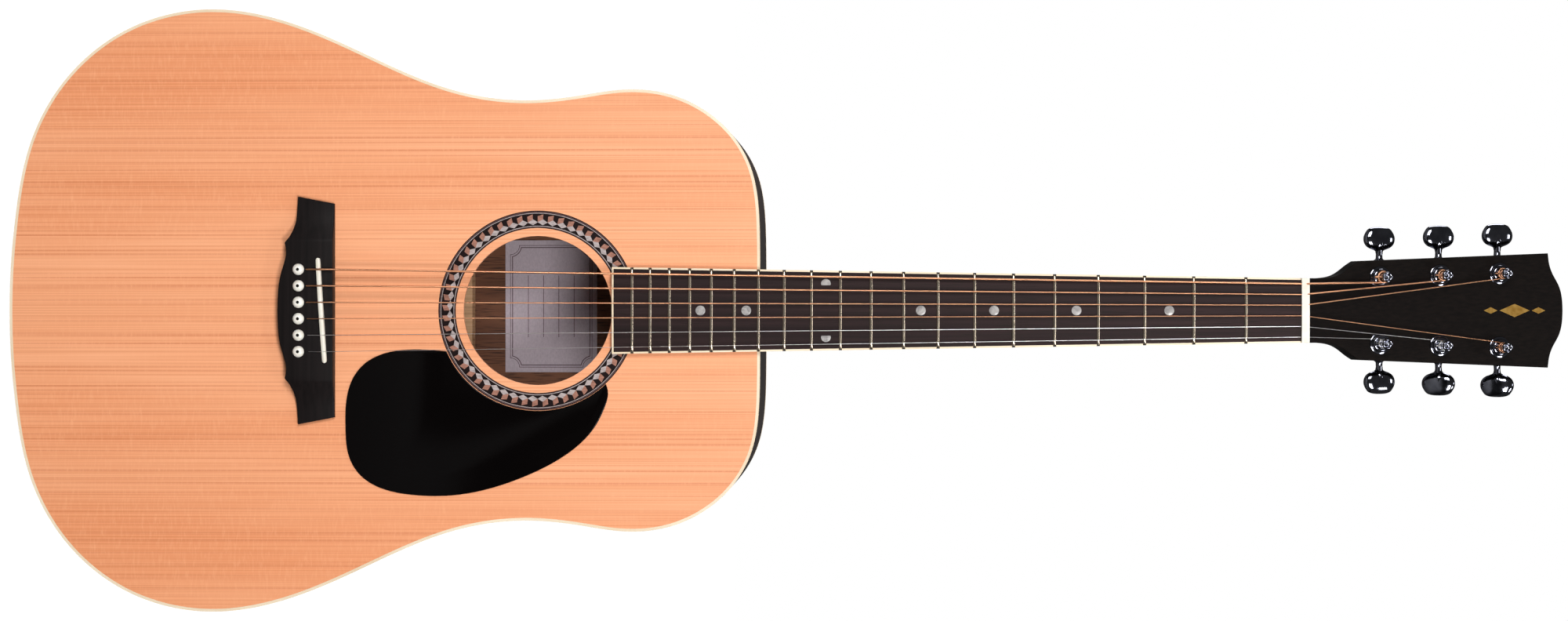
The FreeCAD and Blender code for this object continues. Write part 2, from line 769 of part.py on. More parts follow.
def bridge_face():
    """The bridge's plan: square neck-side edge, cusped tail edge with a round belly."""
    half = [(72, BRIDGE_FRONT), (BRIDGE_HALF, -1.6), (64.4, -2.3)]
    hollow = [(64.4, -2.3), (54.5, -4.2), (45.5, -9.6)]
    belly = [(45.5, -9.6), (40.5, -8.6), (34, -9.4), (23, -12.6), (11, -14.1), (0, -14.5)]
    right = [Vector(x, 0, PINS_Z + z) for x, z in half]
    edges = [Part.LineSegment(a, b).toShape() for a, b in zip(right, right[1:])]
    left = [Vector(-point.x, 0, point.z) for point in right]
    edges += [Part.LineSegment(a, b).toShape() for a, b in zip(left, left[1:])]
    edges.append(Part.LineSegment(right[0], left[0]).toShape())
    for side in (1, -1):
        bend = [Vector(side * x, 0, PINS_Z + z) for x, z in hollow]
        edges.append(Part.Arc(*bend).toShape())
    curve = Part.BSplineCurve()
    around = [Vector(x, 0, PINS_Z + z) for x, z in belly]
    curve.interpolate(around + [Vector(-point.x, 0, point.z) for point in reversed(around[:-1])])
    edges.append(curve.toShape())
    return Part.Face(Part.Wire(Part.sortEdges(edges)[0]))


def bridge_side():
    """The bridge seen along the strings: full height in the middle, scooped down to thin wings."""
    high = -size("bridge_height")
    right = [(47, high), (54, high * 0.72), (63, WING_REST), (80, WING_REST * 0.92)]
    scoop = Part.BSplineCurve()
    scoop.interpolate([Vector(x, y, 0) for x, y in right])
    mirror = Part.BSplineCurve()
    mirror.interpolate([Vector(-x, y, 0) for x, y in right])
    corners = [Vector(80, WING_REST * 0.92, 0), Vector(80, 0, 0), Vector(-80, 0, 0),
               Vector(-80, WING_REST * 0.92, 0)]
    level = Part.LineSegment(Vector(47, high, 0), Vector(-47, high, 0))
    edges = [scoop.toShape(), mirror.toShape(), level.toShape()]
    edges += [Part.LineSegment(a, b).toShape() for a, b in zip(corners, corners[1:])]
    return Part.Face(Part.Wire(Part.sortEdges(edges)[0]))


def stadium(grow, low, high):
    """The saddle's slanted round-ended bar between two heights in front of the soundboard."""
    half = size("saddle_length") / 2 - size("saddle_thickness") / 2
    radius = size("saddle_thickness") / 2 + grow
    bar = Part.makeBox(2 * half, high - low, 2 * radius, Vector(-half, low, -radius))
    ends = [Part.makeCylinder(radius, high - low, Vector(x, low, 0), Vector(0, 1, 0)) for x in (-half, half)]
    bar = bar.fuse(ends).removeSplitter()
    bar.Placement = Placement(Vector(0, 0, SADDLE_Z), Rotation(Vector(0, 1, 0), -size("saddle_slant")))
    return bar


profile = bridge_side()
profile.translate(Vector(0, 0, PINS_Z - 40))
bridge_solid = profile.extrude(Vector(0, 0, 80)).common(bridge_face().extrude(Vector(0, -40, 0)))
bridge_blank = feature("bridge_blank", bridge_solid)
SLOT_FLOOR = size("saddle_slot_depth") - size("bridge_height")
saddle_slot = feature("saddle_slot", stadium(0.02, -size("saddle_top") - 5, SLOT_FLOOR))
node(cut("bridge_cut", bridge_blank, [saddle_slot] + pin_holes + channels), "bridge")

crown = Part.makeCylinder(
    size("board_crown"), 400,
    Vector(0, size("board_crown") - size("saddle_top"), SADDLE_Z - 200), Vector(0, 0, 1),
)
saddle_bar = stadium(0, -size("saddle_top") - 3, SLOT_FLOOR).common(crown)
saddle_blank = feature("saddle_blank", saddle_bar)

pins = []
for index in range(STRING_COUNT):
    pin = turned(
        f"pin_{index + 1}",
        [
            ("0", "-sizes.pin_length"),
            ("sizes.pin_tip / 2", "-sizes.pin_length"),
            ("sizes.pin_shank / 2", "0"),
            ("sizes.pin_head / 2", "0"),
            ("sizes.pin_head / 2", "sizes.pin_head_height * 0.3"),
            ("sizes.pin_head * 0.38", "sizes.pin_head_height * 0.78"),
            ("sizes.pin_head * 0.2", "sizes.pin_head_height"),
            ("0", "sizes.pin_head_height"),
        ],
        Placement(Vector(PIN_X[index], -size("bridge_height"), PINS_Z), Rotation(Vector(1, 0, 0), 90)),
    )
    flute = round_hole(PIN_X[index], PINS_Z + CHANNEL_AHEAD, CHANNEL_RADIUS, -size("bridge_height"), 30)
    pins.append(cut(f"fluted_pin_{index + 1}", pin, [feature(f"flute_{index + 1}", flute), channels[index]]))
group("bridge_pins", pins)

# ------------------------------------------------------------------------------------ fingerboard
BOARD_END = fret_z(size("fret_count")) - size("board_overhang")
CROWN_RADIUS = size("board_crown")


def board_half(z):
    """Half the fingerboard's width at a height."""
    return (size("nut_width") + (size("board_end_width") - size("nut_width")) * z / BOARD_END) / 2


def board_prism(inset, top):
    """The tapered blank of the fingerboard, drawn in at both sides and the end."""
    corners = [
        Vector(board_half(0) - inset, 0, 0), Vector(board_half(BOARD_END) - inset, 0, BOARD_END + inset),
        Vector(inset - board_half(BOARD_END), 0, BOARD_END + inset), Vector(inset - board_half(0), 0, 0),
    ]
    return Part.Face(Part.makePolygon(corners + corners[:1])).extrude(Vector(0, -top, 0))


def board_roof(lift):
    """The cylinder whose surface is the fingerboard's crowned face, lifted outwards."""
    centre = Vector(0, CROWN_RADIUS - size("board_thickness"), BOARD_END - 50)
    return Part.makeCylinder(CROWN_RADIUS + lift, -2 * BOARD_END, centre, Vector(0, 0, 1))


roof = board_roof(0)
board_blank = board_prism(size("board_binding"), 20).common(roof)
edging = board_prism(0, 20).common(roof).cut(board_blank)

dot_shapes = []
for number in (3, 5, 7, 9, 12, 15, 17):
    z = (fret_z(number) + fret_z(number - 1)) / 2
    spread = size("twin_dot_spacing") / 2 if number == 12 else 0
    for x in ((-spread, spread) if spread else (0,)):
        floor = size("dot_depth") - size("board_thickness")
        dot_shapes.append(round_hole(x, z, size("dot_diameter") / 2, -20, floor))
dots = [shape.common(board_blank) for shape in dot_shapes]

fret_shapes = []
slots = []
for number in range(1, int(size("fret_count")) + 1):
    z = fret_z(number)
    reach = math.degrees(math.asin((board_half(z) - 0.05) / CROWN_RADIUS))
    half = size("fret_width") / 2
    surface = -size("board_thickness")
    foot_low = Vector(0, surface, z - half)
    foot_high = Vector(0, surface, z + half)
    bead = Part.Arc(foot_low, Vector(0, surface - size("fret_crown"), z), foot_high).toShape()
    base = Part.LineSegment(foot_high, foot_low).toShape()
    profile = Part.Face(Part.Wire([bead, base]))
    centre = Vector(0, CROWN_RADIUS + surface, 0)
    profile.rotate(centre, Vector(0, 0, 1), -reach)
    bead_solid = profile.revolve(centre, Vector(0, 0, 1), 2 * reach)
    slot_half = board_half(z) - size("board_binding") - 0.8
    slot = Part.makeBox(
        2 * slot_half, size("tang_depth") + 5, size("tang_width"),
        Vector(-slot_half, surface - 5, z - size("tang_width") / 2),
    )
    tang = slot.common(board_blank)
    slots.append(tang)
    fret_shapes.append(bead_solid.fuse(tang).removeSplitter())

board = board_blank.cut(dots).cut(slots)
node(feature("board", board), "fingerboard")
node(feature("board_edging", edging), "fingerboard_binding")
node(feature("fret_wires", Part.makeCompound(fret_shapes)), "frets")
node(feature("dot_discs", Part.makeCompound(dots)), "position_dots")

# ------------------------------------------------------------------------------ neck and headstock
SLOPE = math.radians(size("headstock_angle"))
HEAD = Placement(Vector(0, 0, size("nut_length")), Rotation(Vector(1, 0, 0), 90 - size("headstock_angle")))
HEEL_DEPTH = size("depth_at_neck") - size("heel_cap_thickness")
HEEL_TOP = JOINT + size("heel_length")
HALF_HEEL = size("heel_width") / 2
HEEL_SPARE = 2.5        # carved past the cap's seat, then cut flat


def section_depth(z):
    """The neck's depth behind the fingerboard: the shaft, then a concave sweep down the heel."""
    share = z / JOINT
    shaft = size("neck_depth_at_nut") + (size("neck_depth_at_body") - size("neck_depth_at_nut")) * share
    if z > HEEL_TOP:
        return shaft
    fall = min(1.0, (HEEL_TOP - z) / (size("heel_length") - size("heel_cap_length")))
    return shaft + (HEEL_DEPTH + HEEL_SPARE - shaft) * (1 - (1 - fall ** 2.6) ** 0.5)


def neck_section(z):
    """The neck's cross-section at a height: a flat glue face closed by a round or heel-shaped belly."""
    depth = section_depth(z)
    half = board_half(z)
    heel_share = max(0.0, min(1.0, (HEEL_TOP - z) / size("heel_length"))) ** 1.2
    steps = 8
    right = []
    for step in range(steps + 1):
        turn = step / steps * math.pi / 2
        down = math.sin(turn)
        oval = half * math.cos(turn)
        keel = (HALF_HEEL + (half - HALF_HEEL) * (1 - down) ** 1.7) * math.cos(turn) ** 0.3
        x = oval + (keel - oval) * heel_share if step < steps else 0.0
        right.append(Vector(x, depth * down, z))
    left = [Vector(-point.x, point.y, z) for point in reversed(right[:-1])]
    curve = Part.BSplineCurve()
    curve.interpolate(right + left)
    return Part.Wire([curve.toShape(), Part.LineSegment(left[-1], right[0]).toShape()])


heel_run = size("heel_length") - size("heel_cap_length")
heel_heights = [HEEL_TOP - heel_run * share for share in (0, 0.3, 0.55, 0.75, 0.88, 0.96, 1.0)] + [JOINT - 1]
shaft = Part.makeLoft([neck_section(size("nut_length")), neck_section(HEEL_TOP)], True, True)
heel = Part.makeLoft([neck_section(z) for z in heel_heights], True, False)


def headstock_face():
    """The headstock's plan: flared shoulders, straight widening sides and a crested end."""
    half = size("headstock_width") / 2
    end = size("headstock_length")
    narrow = size("nut_width") / 2 + 0.1
    flare = size("shoulder_width") / 2 - narrow
    shoulder = [(0, 0), (0.01, 0.25), (0.09, 0.48), (0.33, 0.68), (0.77, 0.88), (1, 1)]
    shoulder = [(narrow + out * flare, up * size("shoulder_run")) for out, up in shoulder]
    crest = [(half, end - 10.9), (half - 7, end - 9.9), (half - 14.3, end - 7.1),
             (half - 21.6, end - 2.9), (half - 29.6, end - 0.6), (0, end)]
    edges = []
    for side in (1, -1):
        rise = Part.BSplineCurve()
        rise.interpolate([Vector(side * x, run, 0) for x, run in shoulder])
        edges.append(rise.toShape())
        low = Vector(side * shoulder[-1][0], shoulder[-1][1], 0)
        high = Vector(side * crest[0][0], crest[0][1], 0)
        edges.append(Part.LineSegment(low, high).toShape())
    tip = Part.BSplineCurve()
    right = [Vector(x, run, 0) for x, run in crest]
    tip.interpolate(right + [Vector(-point.x, point.y, 0) for point in reversed(right[:-1])])
    edges.append(tip.toShape())
    edges.append(Part.LineSegment(Vector(narrow, 0, 0), Vector(-narrow, 0, 0)).toShape())
    return Part.Face(Part.Wire(Part.sortEdges(edges)[0]))


TUNERS = []
for order in range(3):
    run = size("tuner_first") + order * size("tuner_spacing")
    across = size("tuner_row_half") + order * size("tuner_row_flare")
    TUNERS.append((-across, run, -1))
TUNERS += [(-x, run, 1) for x, run, side in reversed(TUNERS)]

head_slab = headstock_face().extrude(Vector(0, 0, -size("headstock_thickness")))
post_holes = [
    Part.makeCylinder(size("bushing_shank") / 2, 60, Vector(x, run, -30), Vector(0, 0, 1))
    for x, run, side in TUNERS
]
screw_radius = size("screw_shank") / 2
WORM_Y = size("worm_offset")
BACK_FACE = -size("headstock_thickness")
HOUSING_LOW = -size("housing_length") / 2 + 3.6
SCREW_RUN = HOUSING_LOW - 2.6
screw_holes = [
    Part.makeCylinder(
        screw_radius, size("screw_length"), Vector(x, run + SCREW_RUN, BACK_FACE), Vector(0, 0, 1)
    )
    for x, run, side in TUNERS
]
head_wood = head_slab.cut(post_holes + screw_holes)
head_wood.Placement = HEAD
tenon_low = Vector(-TENON_HALF, TOP, JOINT - size("tenon_length"))
tenon = Part.makeBox(2 * TENON_HALF, size("tenon_depth"), size("tenon_length") + 2, tenon_low)
rod_channel = Part.makeBox(
    size("rod_diameter") + 2 * size("rod_clearance"), ROD_Y, -size("rod_start") - JOINT + 100,
    Vector(-size("rod_diameter") / 2 - size("rod_clearance"), 0, JOINT - 100),
)
rod_bed = Part.makeCylinder(
    size("rod_diameter") / 2 + size("rod_clearance"), -size("rod_start") - JOINT + 100,
    Vector(0, ROD_Y, JOINT - 100), Vector(0, 0, 1),
)
body_space = prism(0, -5, DEEP)
past_cap = Part.makeBox(200, 40, 200, Vector(-100, HEEL_DEPTH, JOINT - 100))
neck_wood = shaft.fuse([heel, head_wood]).cut([body_space, past_cap]).fuse(tenon)
neck_wood = neck_wood.cut([rod_channel, rod_bed]).removeSplitter()
node(feature("neck_wood", neck_wood), "neck")

veneer_shape = headstock_face().extrude(Vector(0, 0, size("veneer_thickness"))).cut(post_holes)
node(feature("veneer", veneer_shape, HEAD), "headstock_veneer")

cap_seat = min(neck_wood.Faces, key=lambda face: abs(face.CenterOfMass.y - HEEL_DEPTH))
node(feature("cap", cap_seat.extrude(Vector(0, size("heel_cap_thickness"), 0))), "heel_cap")

# ---------------------------------------------------------------------------------------- nut
nut = plate(
    "nut_block",
    [("-sizes.nut_width / 2", "0"), ("sizes.nut_width / 2", "0"),
     ("sizes.nut_width / 2", "sizes.nut_top"), ("-sizes.nut_width / 2", "sizes.nut_top")],
    "sizes.nut_length",
    role="XY_Plane",
    place=Placement(Vector(0, 0, 0), Rotation(Vector(0, 0, 1), 180)),
)
FRONT_FLAT = size("nut_length") * 0.3
nut_side = [
    Vector(-50, 0, 0), Vector(-50, -size("nut_top"), 0), Vector(-50, -size("nut_top"), FRONT_FLAT),
    Vector(-50, -size("nut_top") + 1.9, size("nut_length")), Vector(-50, 0, size("nut_length")),
]
nut_profile = Part.Face(Part.makePolygon(nut_side + nut_side[:1])).extrude(Vector(100, 0, 0))
nut_crown = Part.makeCylinder(
    CROWN_RADIUS, 40, Vector(0, CROWN_RADIUS - size("nut_top"), -20), Vector(0, 0, 1)
)


def fin(start, end, half_width):
    """An upright slab over a straight run, from just below it upwards: a string's open slot."""
    down = Vector(0, half_width, 0)
    up = Vector(0, -6, 0)
    side = (end - start).cross(up).normalize() * half_width
    corners = [corner - side for corner in (start + down, end + down, end + up, start + up)]
    return Part.Face(Part.makePolygon(corners + corners[:1])).extrude(side * 2)


# ------------------------------------------------------------------------- strings and their coils
WAIST_RADIUS = size("post_waist") / 2
COIL_GAP = 0.1
COIL_LOW = size("veneer_thickness") + size("washer_thickness") + size("bushing_head_height") + 0.6


def string_route(index):
    """A string's points: ball end, bridge, saddle, nut, and where it meets its coil on the post."""
    x, run, side = TUNERS[index]
    radius = STRING_DIAMETERS[index] / 2
    coil = WAIST_RADIUS + COIL_GAP + radius
    nut_bend = nut_point(index)
    local = HEAD.inverse().multVec(nut_bend)
    away = Vector(x - local.x, run - local.y, 0)
    gap = away.Length
    lean = math.asin(coil / gap)
    bearing = math.atan2(away.y, away.x) + side * lean
    ray = Vector(math.cos(bearing), math.sin(bearing), 0)
    touch = Vector(local.x, local.y, 0) + ray * gap * math.cos(lean)
    touch.z = COIL_LOW + radius
    return bridge_run(index, under_plate + 0.6) + [nut_bend, HEAD.multVec(touch)]


def string_shape(index):
    """One string, with its ball end and the closed stand-in of its coil round the post."""
    x, run, side = TUNERS[index]
    diameter = STRING_DIAMETERS[index]
    radius = diameter / 2
    route = string_route(index)
    line = tube(route, radius, size("string_bend"))
    ball_centre = Vector(route[0].x, under_plate + size("ball_diameter") / 2 + 0.05, route[0].z + 1.3)
    ball = Part.makeCylinder(
        size("ball_diameter") / 2, 3.2, ball_centre - Vector(1.6, 0, 0), Vector(1, 0, 0)
    )
    turns = max(2, round(2.4 / diameter))
    inner = WAIST_RADIUS + COIL_GAP
    height = turns * diameter
    coil = Part.makeCylinder(inner + diameter, height, Vector(x, run, COIL_LOW), Vector(0, 0, 1))
    coil = coil.cut(Part.makeCylinder(inner, 20, Vector(x, run, 0), Vector(0, 0, 1)))
    hole = size("post_hole_height")
    back = Vector(x, run + inner + radius, COIL_LOW + height / 2)
    tail = tube(
        [back, Vector(x, run + inner + radius, hole), Vector(x, run - inner - 4, hole)], radius, radius * 1.3
    )
    coil = coil.fuse(tail)
    coil.Placement = HEAD
    return line.fuse([ball, coil])


nut_slots = []
saddle_slots = []
for index in range(STRING_COUNT):
    low, bend, high = string_route(index)[2:]
    half_width = STRING_DIAMETERS[index] / 2 + size("string_clearance")
    before = bend + (low - bend).normalize() * 20
    after = bend + (high - bend).normalize() * 20
    slot = Part.makeCompound([fin(before, bend, half_width), fin(bend, after, half_width)])
    nut_slots.append(feature(f"nut_slot_{index + 1}", slot))
    groove = tube([string_route(index)[1], low, bend], half_width, size("string_bend"))
    saddle_slots.append(feature(f"saddle_slot_{index + 1}", groove))
nut_form = feature("nut_form", nut_profile.common(nut_crown))
node(cut("saddle_grooved", saddle_blank, saddle_slots), "saddle")
node(cut("nut_slotted", common("nut_shaped", nut, nut_form), nut_slots), "nut")

for index in range(STRING_COUNT):
    node(feature(f"wire_{index + 1}", string_shape(index)), f"string_{index + 1}")

# ------------------------------------------------------------------------------------ truss rod
rod = new_body("rod", Placement(Vector(0, ROD_Y, 0), Rotation()))
rod_sketch = sketch_on(rod, "XY_Plane", "-sizes.rod_start")
circle(rod_sketch, "0", "0", "sizes.rod_diameter / 2")
pad(rod, rod_sketch, f"{JOINT_DROP} + sizes.neck_block_length + 2 - sizes.rod_start", reverse=True)
thread_sketch = sketch_on(rod, "XY_Plane", "-sizes.rod_start - 1")
circle(thread_sketch, "0", "0", "sizes.rod_thread / 2")
pad(rod, thread_sketch, f"{JOINT_DROP} + sizes.neck_block_length + 7.5 - sizes.rod_start", reverse=True)
node(rod, "truss_rod")

hexagon = [
    (f"sizes.rod_nut_across_flats / 2 / cos(30 deg) * cos({60 * corner} deg)",
     f"sizes.rod_nut_across_flats / 2 / cos(30 deg) * sin({60 * corner} deg)")
    for corner in range(6)
]
rod_nut = plate(
    "rod_nut", hexagon, "sizes.rod_nut_length", role="XY_Plane",
    lift=f"-{JOINT_DROP} - sizes.neck_block_length - 2.4", place=Placement(Vector(0, ROD_Y, 0), Rotation()),
    reverse=True,
)
nut_bore = feature(
    "nut_bore",
    Part.makeCylinder(
        size("rod_thread") / 2 + size("running_fit"), 7.5,
        Vector(0, ROD_Y, BLOCK_END - 9.2), Vector(0, 0, 1),
    ),
)
key_radius = size("rod_key_across_flats") / 2 / math.cos(math.pi / 6)
key_corners = []
for corner in range(7):
    turn = math.radians(60 * corner)
    across = key_radius * math.cos(turn)
    key_corners.append(Vector(across, ROD_Y + key_radius * math.sin(turn), BLOCK_END - 30))
key_socket = feature("key_socket", Part.Face(Part.makePolygon(key_corners)).extrude(Vector(0, 0, 22)))
node(cut("rod_nut_bored", rod_nut, [nut_bore, key_socket]), "truss_rod_nut")

# --------------------------------------------------------------------------------------- end pin
end_pin = turned(
    "end_button",
    [
        ("0", "-sizes.end_pin_shank_length"),
        ("sizes.end_pin_shank / 2 - 0.1", "-sizes.end_pin_shank_length"),
        ("sizes.end_pin_shank / 2 - 0.1", "0"),
        ("sizes.end_pin_head / 2", "0"),
        ("sizes.end_pin_head / 2", "1.6"),
        ("sizes.end_pin_neck / 2", "3.2"),
        ("sizes.end_pin_neck / 2", "sizes.end_pin_reach - 4.6"),
        ("sizes.end_pin_head / 2", "sizes.end_pin_reach - 2.2"),
        ("sizes.end_pin_head * 0.4", "sizes.end_pin_reach - 0.5"),
        ("0", "sizes.end_pin_reach"),
    ],
    Placement(Vector(0, size("end_pin_depth"), TAIL), Rotation(Vector(1, 0, 0), 180)),
)
node(end_pin, "end_pin")

# ---------------------------------------------------------------------------------------- tuners
housings = []
bushings = []
washers = []
screws = []
GEAR_H = "(-sizes.headstock_thickness - sizes.housing_depth / 2)"
WASHER_TOP = "sizes.veneer_thickness + sizes.washer_thickness"
COLLAR_TOP = WASHER_TOP + " + sizes.bushing_head_height"
BORE = "sizes.post_diameter / 2 + sizes.running_fit"
for number, (x, run, side) in enumerate(TUNERS, start=1):
    seat = HEAD.multiply(Placement(Vector(x, run, 0), Rotation()))
    # Post, with the wheel pinned to its lower end, in the housing.
    post = turned(
        f"post_{number}",
        [
            ("0", f"{GEAR_H} - sizes.wheel_thickness / 2 - 1.2"),
            ("sizes.post_diameter / 2", f"{GEAR_H} - sizes.wheel_thickness / 2 - 1.2"),
            ("sizes.post_diameter / 2", f"{GEAR_H} - sizes.wheel_thickness / 2"),
            ("sizes.wheel_diameter / 2", f"{GEAR_H} - sizes.wheel_thickness / 2"),
            ("sizes.wheel_diameter / 2", f"{GEAR_H} + sizes.wheel_thickness / 2"),
            ("sizes.post_diameter / 2", f"{GEAR_H} + sizes.wheel_thickness / 2"),
            ("sizes.post_diameter / 2", COLLAR_TOP + " + 0.2"),
            ("sizes.post_waist / 2", COLLAR_TOP + " + 0.5"),
            ("sizes.post_waist / 2", "sizes.post_hole_height + 1.4"),
            ("sizes.post_diameter / 2 + 0.4", "sizes.post_hole_height + 2.6"),
            ("sizes.post_diameter / 2 + 0.4", "sizes.post_top - 0.5"),
            ("sizes.post_diameter / 2", "sizes.post_top"),
            ("sizes.post_diameter / 2 - 1.2", "sizes.post_top"),
            ("sizes.post_diameter / 2 - 1.6", "sizes.post_top - 1"),
            ("0", "sizes.post_top - 1.4"),
        ],
        seat,
    )
    eye = sketch_on(post, "XZ_Plane")
    circle(eye, "0", "sizes.post_hole_height", "sizes.post_hole / 2")
    pocket_through(post, eye)
    node(post, f"tuner_post_{number}")

    bushings.append(turned(
        f"bushing_{number}",
        [
            (BORE, "-sizes.headstock_thickness + 0.5"),
            ("sizes.bushing_shank / 2", "-sizes.headstock_thickness + 0.5"),
            ("sizes.bushing_shank / 2", WASHER_TOP),
            ("sizes.bushing_head / 2 + 1", WASHER_TOP),
            ("sizes.bushing_head / 2 + 1", WASHER_TOP + " + sizes.bushing_head_height * 0.6"),
            ("sizes.bushing_head / 2", COLLAR_TOP),
            (BORE, COLLAR_TOP),
        ],
        seat,
    ))
    washers.append(turned(
        f"washer_{number}",
        [
            ("sizes.bushing_shank / 2", "sizes.veneer_thickness"),
            ("sizes.washer_diameter / 2", "sizes.veneer_thickness"),
            ("sizes.washer_diameter / 2 - 0.5", WASHER_TOP),
            ("sizes.bushing_shank / 2", WASHER_TOP),
        ],
        seat,
    ))

    # Housing: a die-cast shell against the back of the headstock, open towards the wood.
    wide = size("housing_width")
    long = size("housing_length")
    deep = size("housing_depth")
    wall = size("housing_wall")
    gap = size("gear_clearance")
    shell = Part.makeBox(wide, long, deep, Vector(-wide / 2, HOUSING_LOW, BACK_FACE - deep))
    lower_edges = [edge for edge in shell.Edges
                   if not all(abs(vertex.Z - BACK_FACE) < 1e-6 for vertex in edge.Vertexes)]
    shell = shell.makeFillet(wall * 1.2, lower_edges)
    foot_centre = Vector(0, SCREW_RUN, BACK_FACE - 2.2)
    foot = Part.makeCylinder(size("screw_head") / 2 + 1.1, 2.2, foot_centre, Vector(0, 0, 1))
    shell = shell.fuse(foot)
    gear_h = BACK_FACE - deep / 2
    wheel_room = Part.makeCylinder(
        size("wheel_diameter") / 2 + gap, size("wheel_thickness") + 2 * gap,
        Vector(0, 0, gear_h - size("wheel_thickness") / 2 - gap), Vector(0, 0, 1),
    )
    worm_room = Part.makeCylinder(
        size("worm_diameter") / 2 + gap, size("worm_length") + 2 * gap,
        Vector(-size("worm_length") / 2 - gap, WORM_Y, gear_h), Vector(1, 0, 0),
    )
    post_room = Part.makeCylinder(
        size("post_diameter") / 2 + size("running_fit"), 40,
        Vector(0, 0, gear_h - size("wheel_thickness") / 2 - 2), Vector(0, 0, 1),
    )
    shaft_room = Part.makeCylinder(
        size("key_shaft") / 2 + size("running_fit"), 40, Vector(0, WORM_Y, gear_h), Vector(side, 0, 0)
    )
    screw_room = Part.makeCylinder(screw_radius, 40, Vector(0, SCREW_RUN, BACK_FACE - 20), Vector(0, 0, 1))
    shell = shell.cut([wheel_room, worm_room, post_room, shaft_room, screw_room])
    housings.append(feature(f"housing_{number}", shell, seat))
    screws.append(turned(
        f"screw_{number}",
        [
            ("0", "-sizes.screw_length"),
            ("sizes.screw_shank / 2", "-sizes.screw_length"),
            ("sizes.screw_shank / 2", "2.2"),
            ("sizes.screw_head / 2", "2.2"),
            ("sizes.screw_head / 2 - 0.3", "3.4"),
            ("0", "3.9"),
        ],
        seat.multiply(Placement(Vector(0, SCREW_RUN, BACK_FACE), Rotation(Vector(1, 0, 0), 180))),
    ))

    # Worm shaft: turned about its own Z, which points out of the headstock's side.
    outward = Placement(Vector(0, WORM_Y, gear_h), Rotation(Vector(0, 1, 0), 90 * side))
    worm = turned(
        f"worm_{number}",
        [
            ("0", "-sizes.worm_length / 2"),
            ("sizes.worm_diameter / 2", "-sizes.worm_length / 2"),
            ("sizes.worm_diameter / 2", "sizes.worm_length / 2"),
            ("sizes.key_shaft / 2", "sizes.worm_length / 2"),
            ("sizes.key_shaft / 2", "sizes.housing_width / 2 + 0.3"),
            ("sizes.collar_diameter / 2", "sizes.housing_width / 2 + 0.3"),
            ("sizes.collar_diameter / 2", "sizes.housing_width / 2 + 0.3 + sizes.collar_length"),
            ("sizes.key_shaft / 2 + 0.6", "sizes.housing_width / 2 + 0.9 + sizes.collar_length"),
            ("sizes.key_shaft / 2 + 0.6", "sizes.button_start - 2"),
            ("sizes.key_shaft / 2", "sizes.button_start - 2"),
            ("sizes.key_shaft / 2", "sizes.button_start + 7"),
            ("0", "sizes.button_start + 7"),
        ],
        seat.multiply(outward),
    )
    node(worm, f"tuner_worm_{number}")

    oval = Part.Ellipse(Vector(0, 0, 0), size("button_width") / 2, size("button_height") / 2).toShape()
    grip = Part.Face(Part.Wire([oval])).extrude(Vector(0, 0, size("button_thickness")))
    grip.translate(Vector(0, 0, -size("button_thickness") / 2))
    grip = grip.makeFillet(size("button_thickness") * 0.4, grip.Edges[:1] + grip.Edges[2:3])
    grip.Placement = Placement(
        Vector(0, 0, size("button_start") + size("button_height") / 2 + 1.2),
        Rotation(Vector(0, 0, 1), 90 + BUTTON_TURNS[number - 1]).multiply(Rotation(Vector(1, 0, 0), 90)),
    )
    stem_foot = Vector(0, 0, size("button_start") - 1.8)
    stem = Part.makeCone(size("collar_diameter") / 2, 2.7, 5, stem_foot, Vector(0, 0, 1))
    socket_foot = Vector(0, 0, size("button_start") - 23)
    socket = Part.makeCylinder(size("key_shaft") / 2, 30, socket_foot, Vector(0, 0, 1))
    button = grip.fuse(stem).cut(socket)
    node(feature(f"button_{number}", button, seat.multiply(outward)), f"tuner_button_{number}")

group("tuner_housings", housings)
group("tuner_bushings", bushings)
group("tuner_washers", washers)
group("tuner_screws", screws)

# ------------------------------------------------------------------------------ checks and files
doc.recompute()
for item in doc.Objects:
    if "Invalid" in item.State or "Error" in item.State:
        raise RuntimeError(f"{item.Label} did not build: {item.State}")
for piece in NODES:
    shape = piece.Shape
    if shape.isNull() or not shape.isValid() or not shape.Solids:
        raise RuntimeError(f"{piece.Label} has no valid solid")

os.makedirs("parts", exist_ok=True)
for piece in NODES:
    piece.Shape.exportStep(f"parts/{piece.Label}.step")
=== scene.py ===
"""The looks of a steel-string flat-top guitar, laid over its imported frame.

Lengths are written in millimetres and become metres where a mesh is made. The frame's own axes hold
throughout: +Z runs up the neck, -Y faces out of the soundboard and +X is the side of the thin strings.
The script follows the guitar as it is put together: room, soundboard, box, neck, fingerboard, bridge,
strings and tuners.
"""
import math

import bpy
import numpy as np
from mathutils import Matrix, Vector


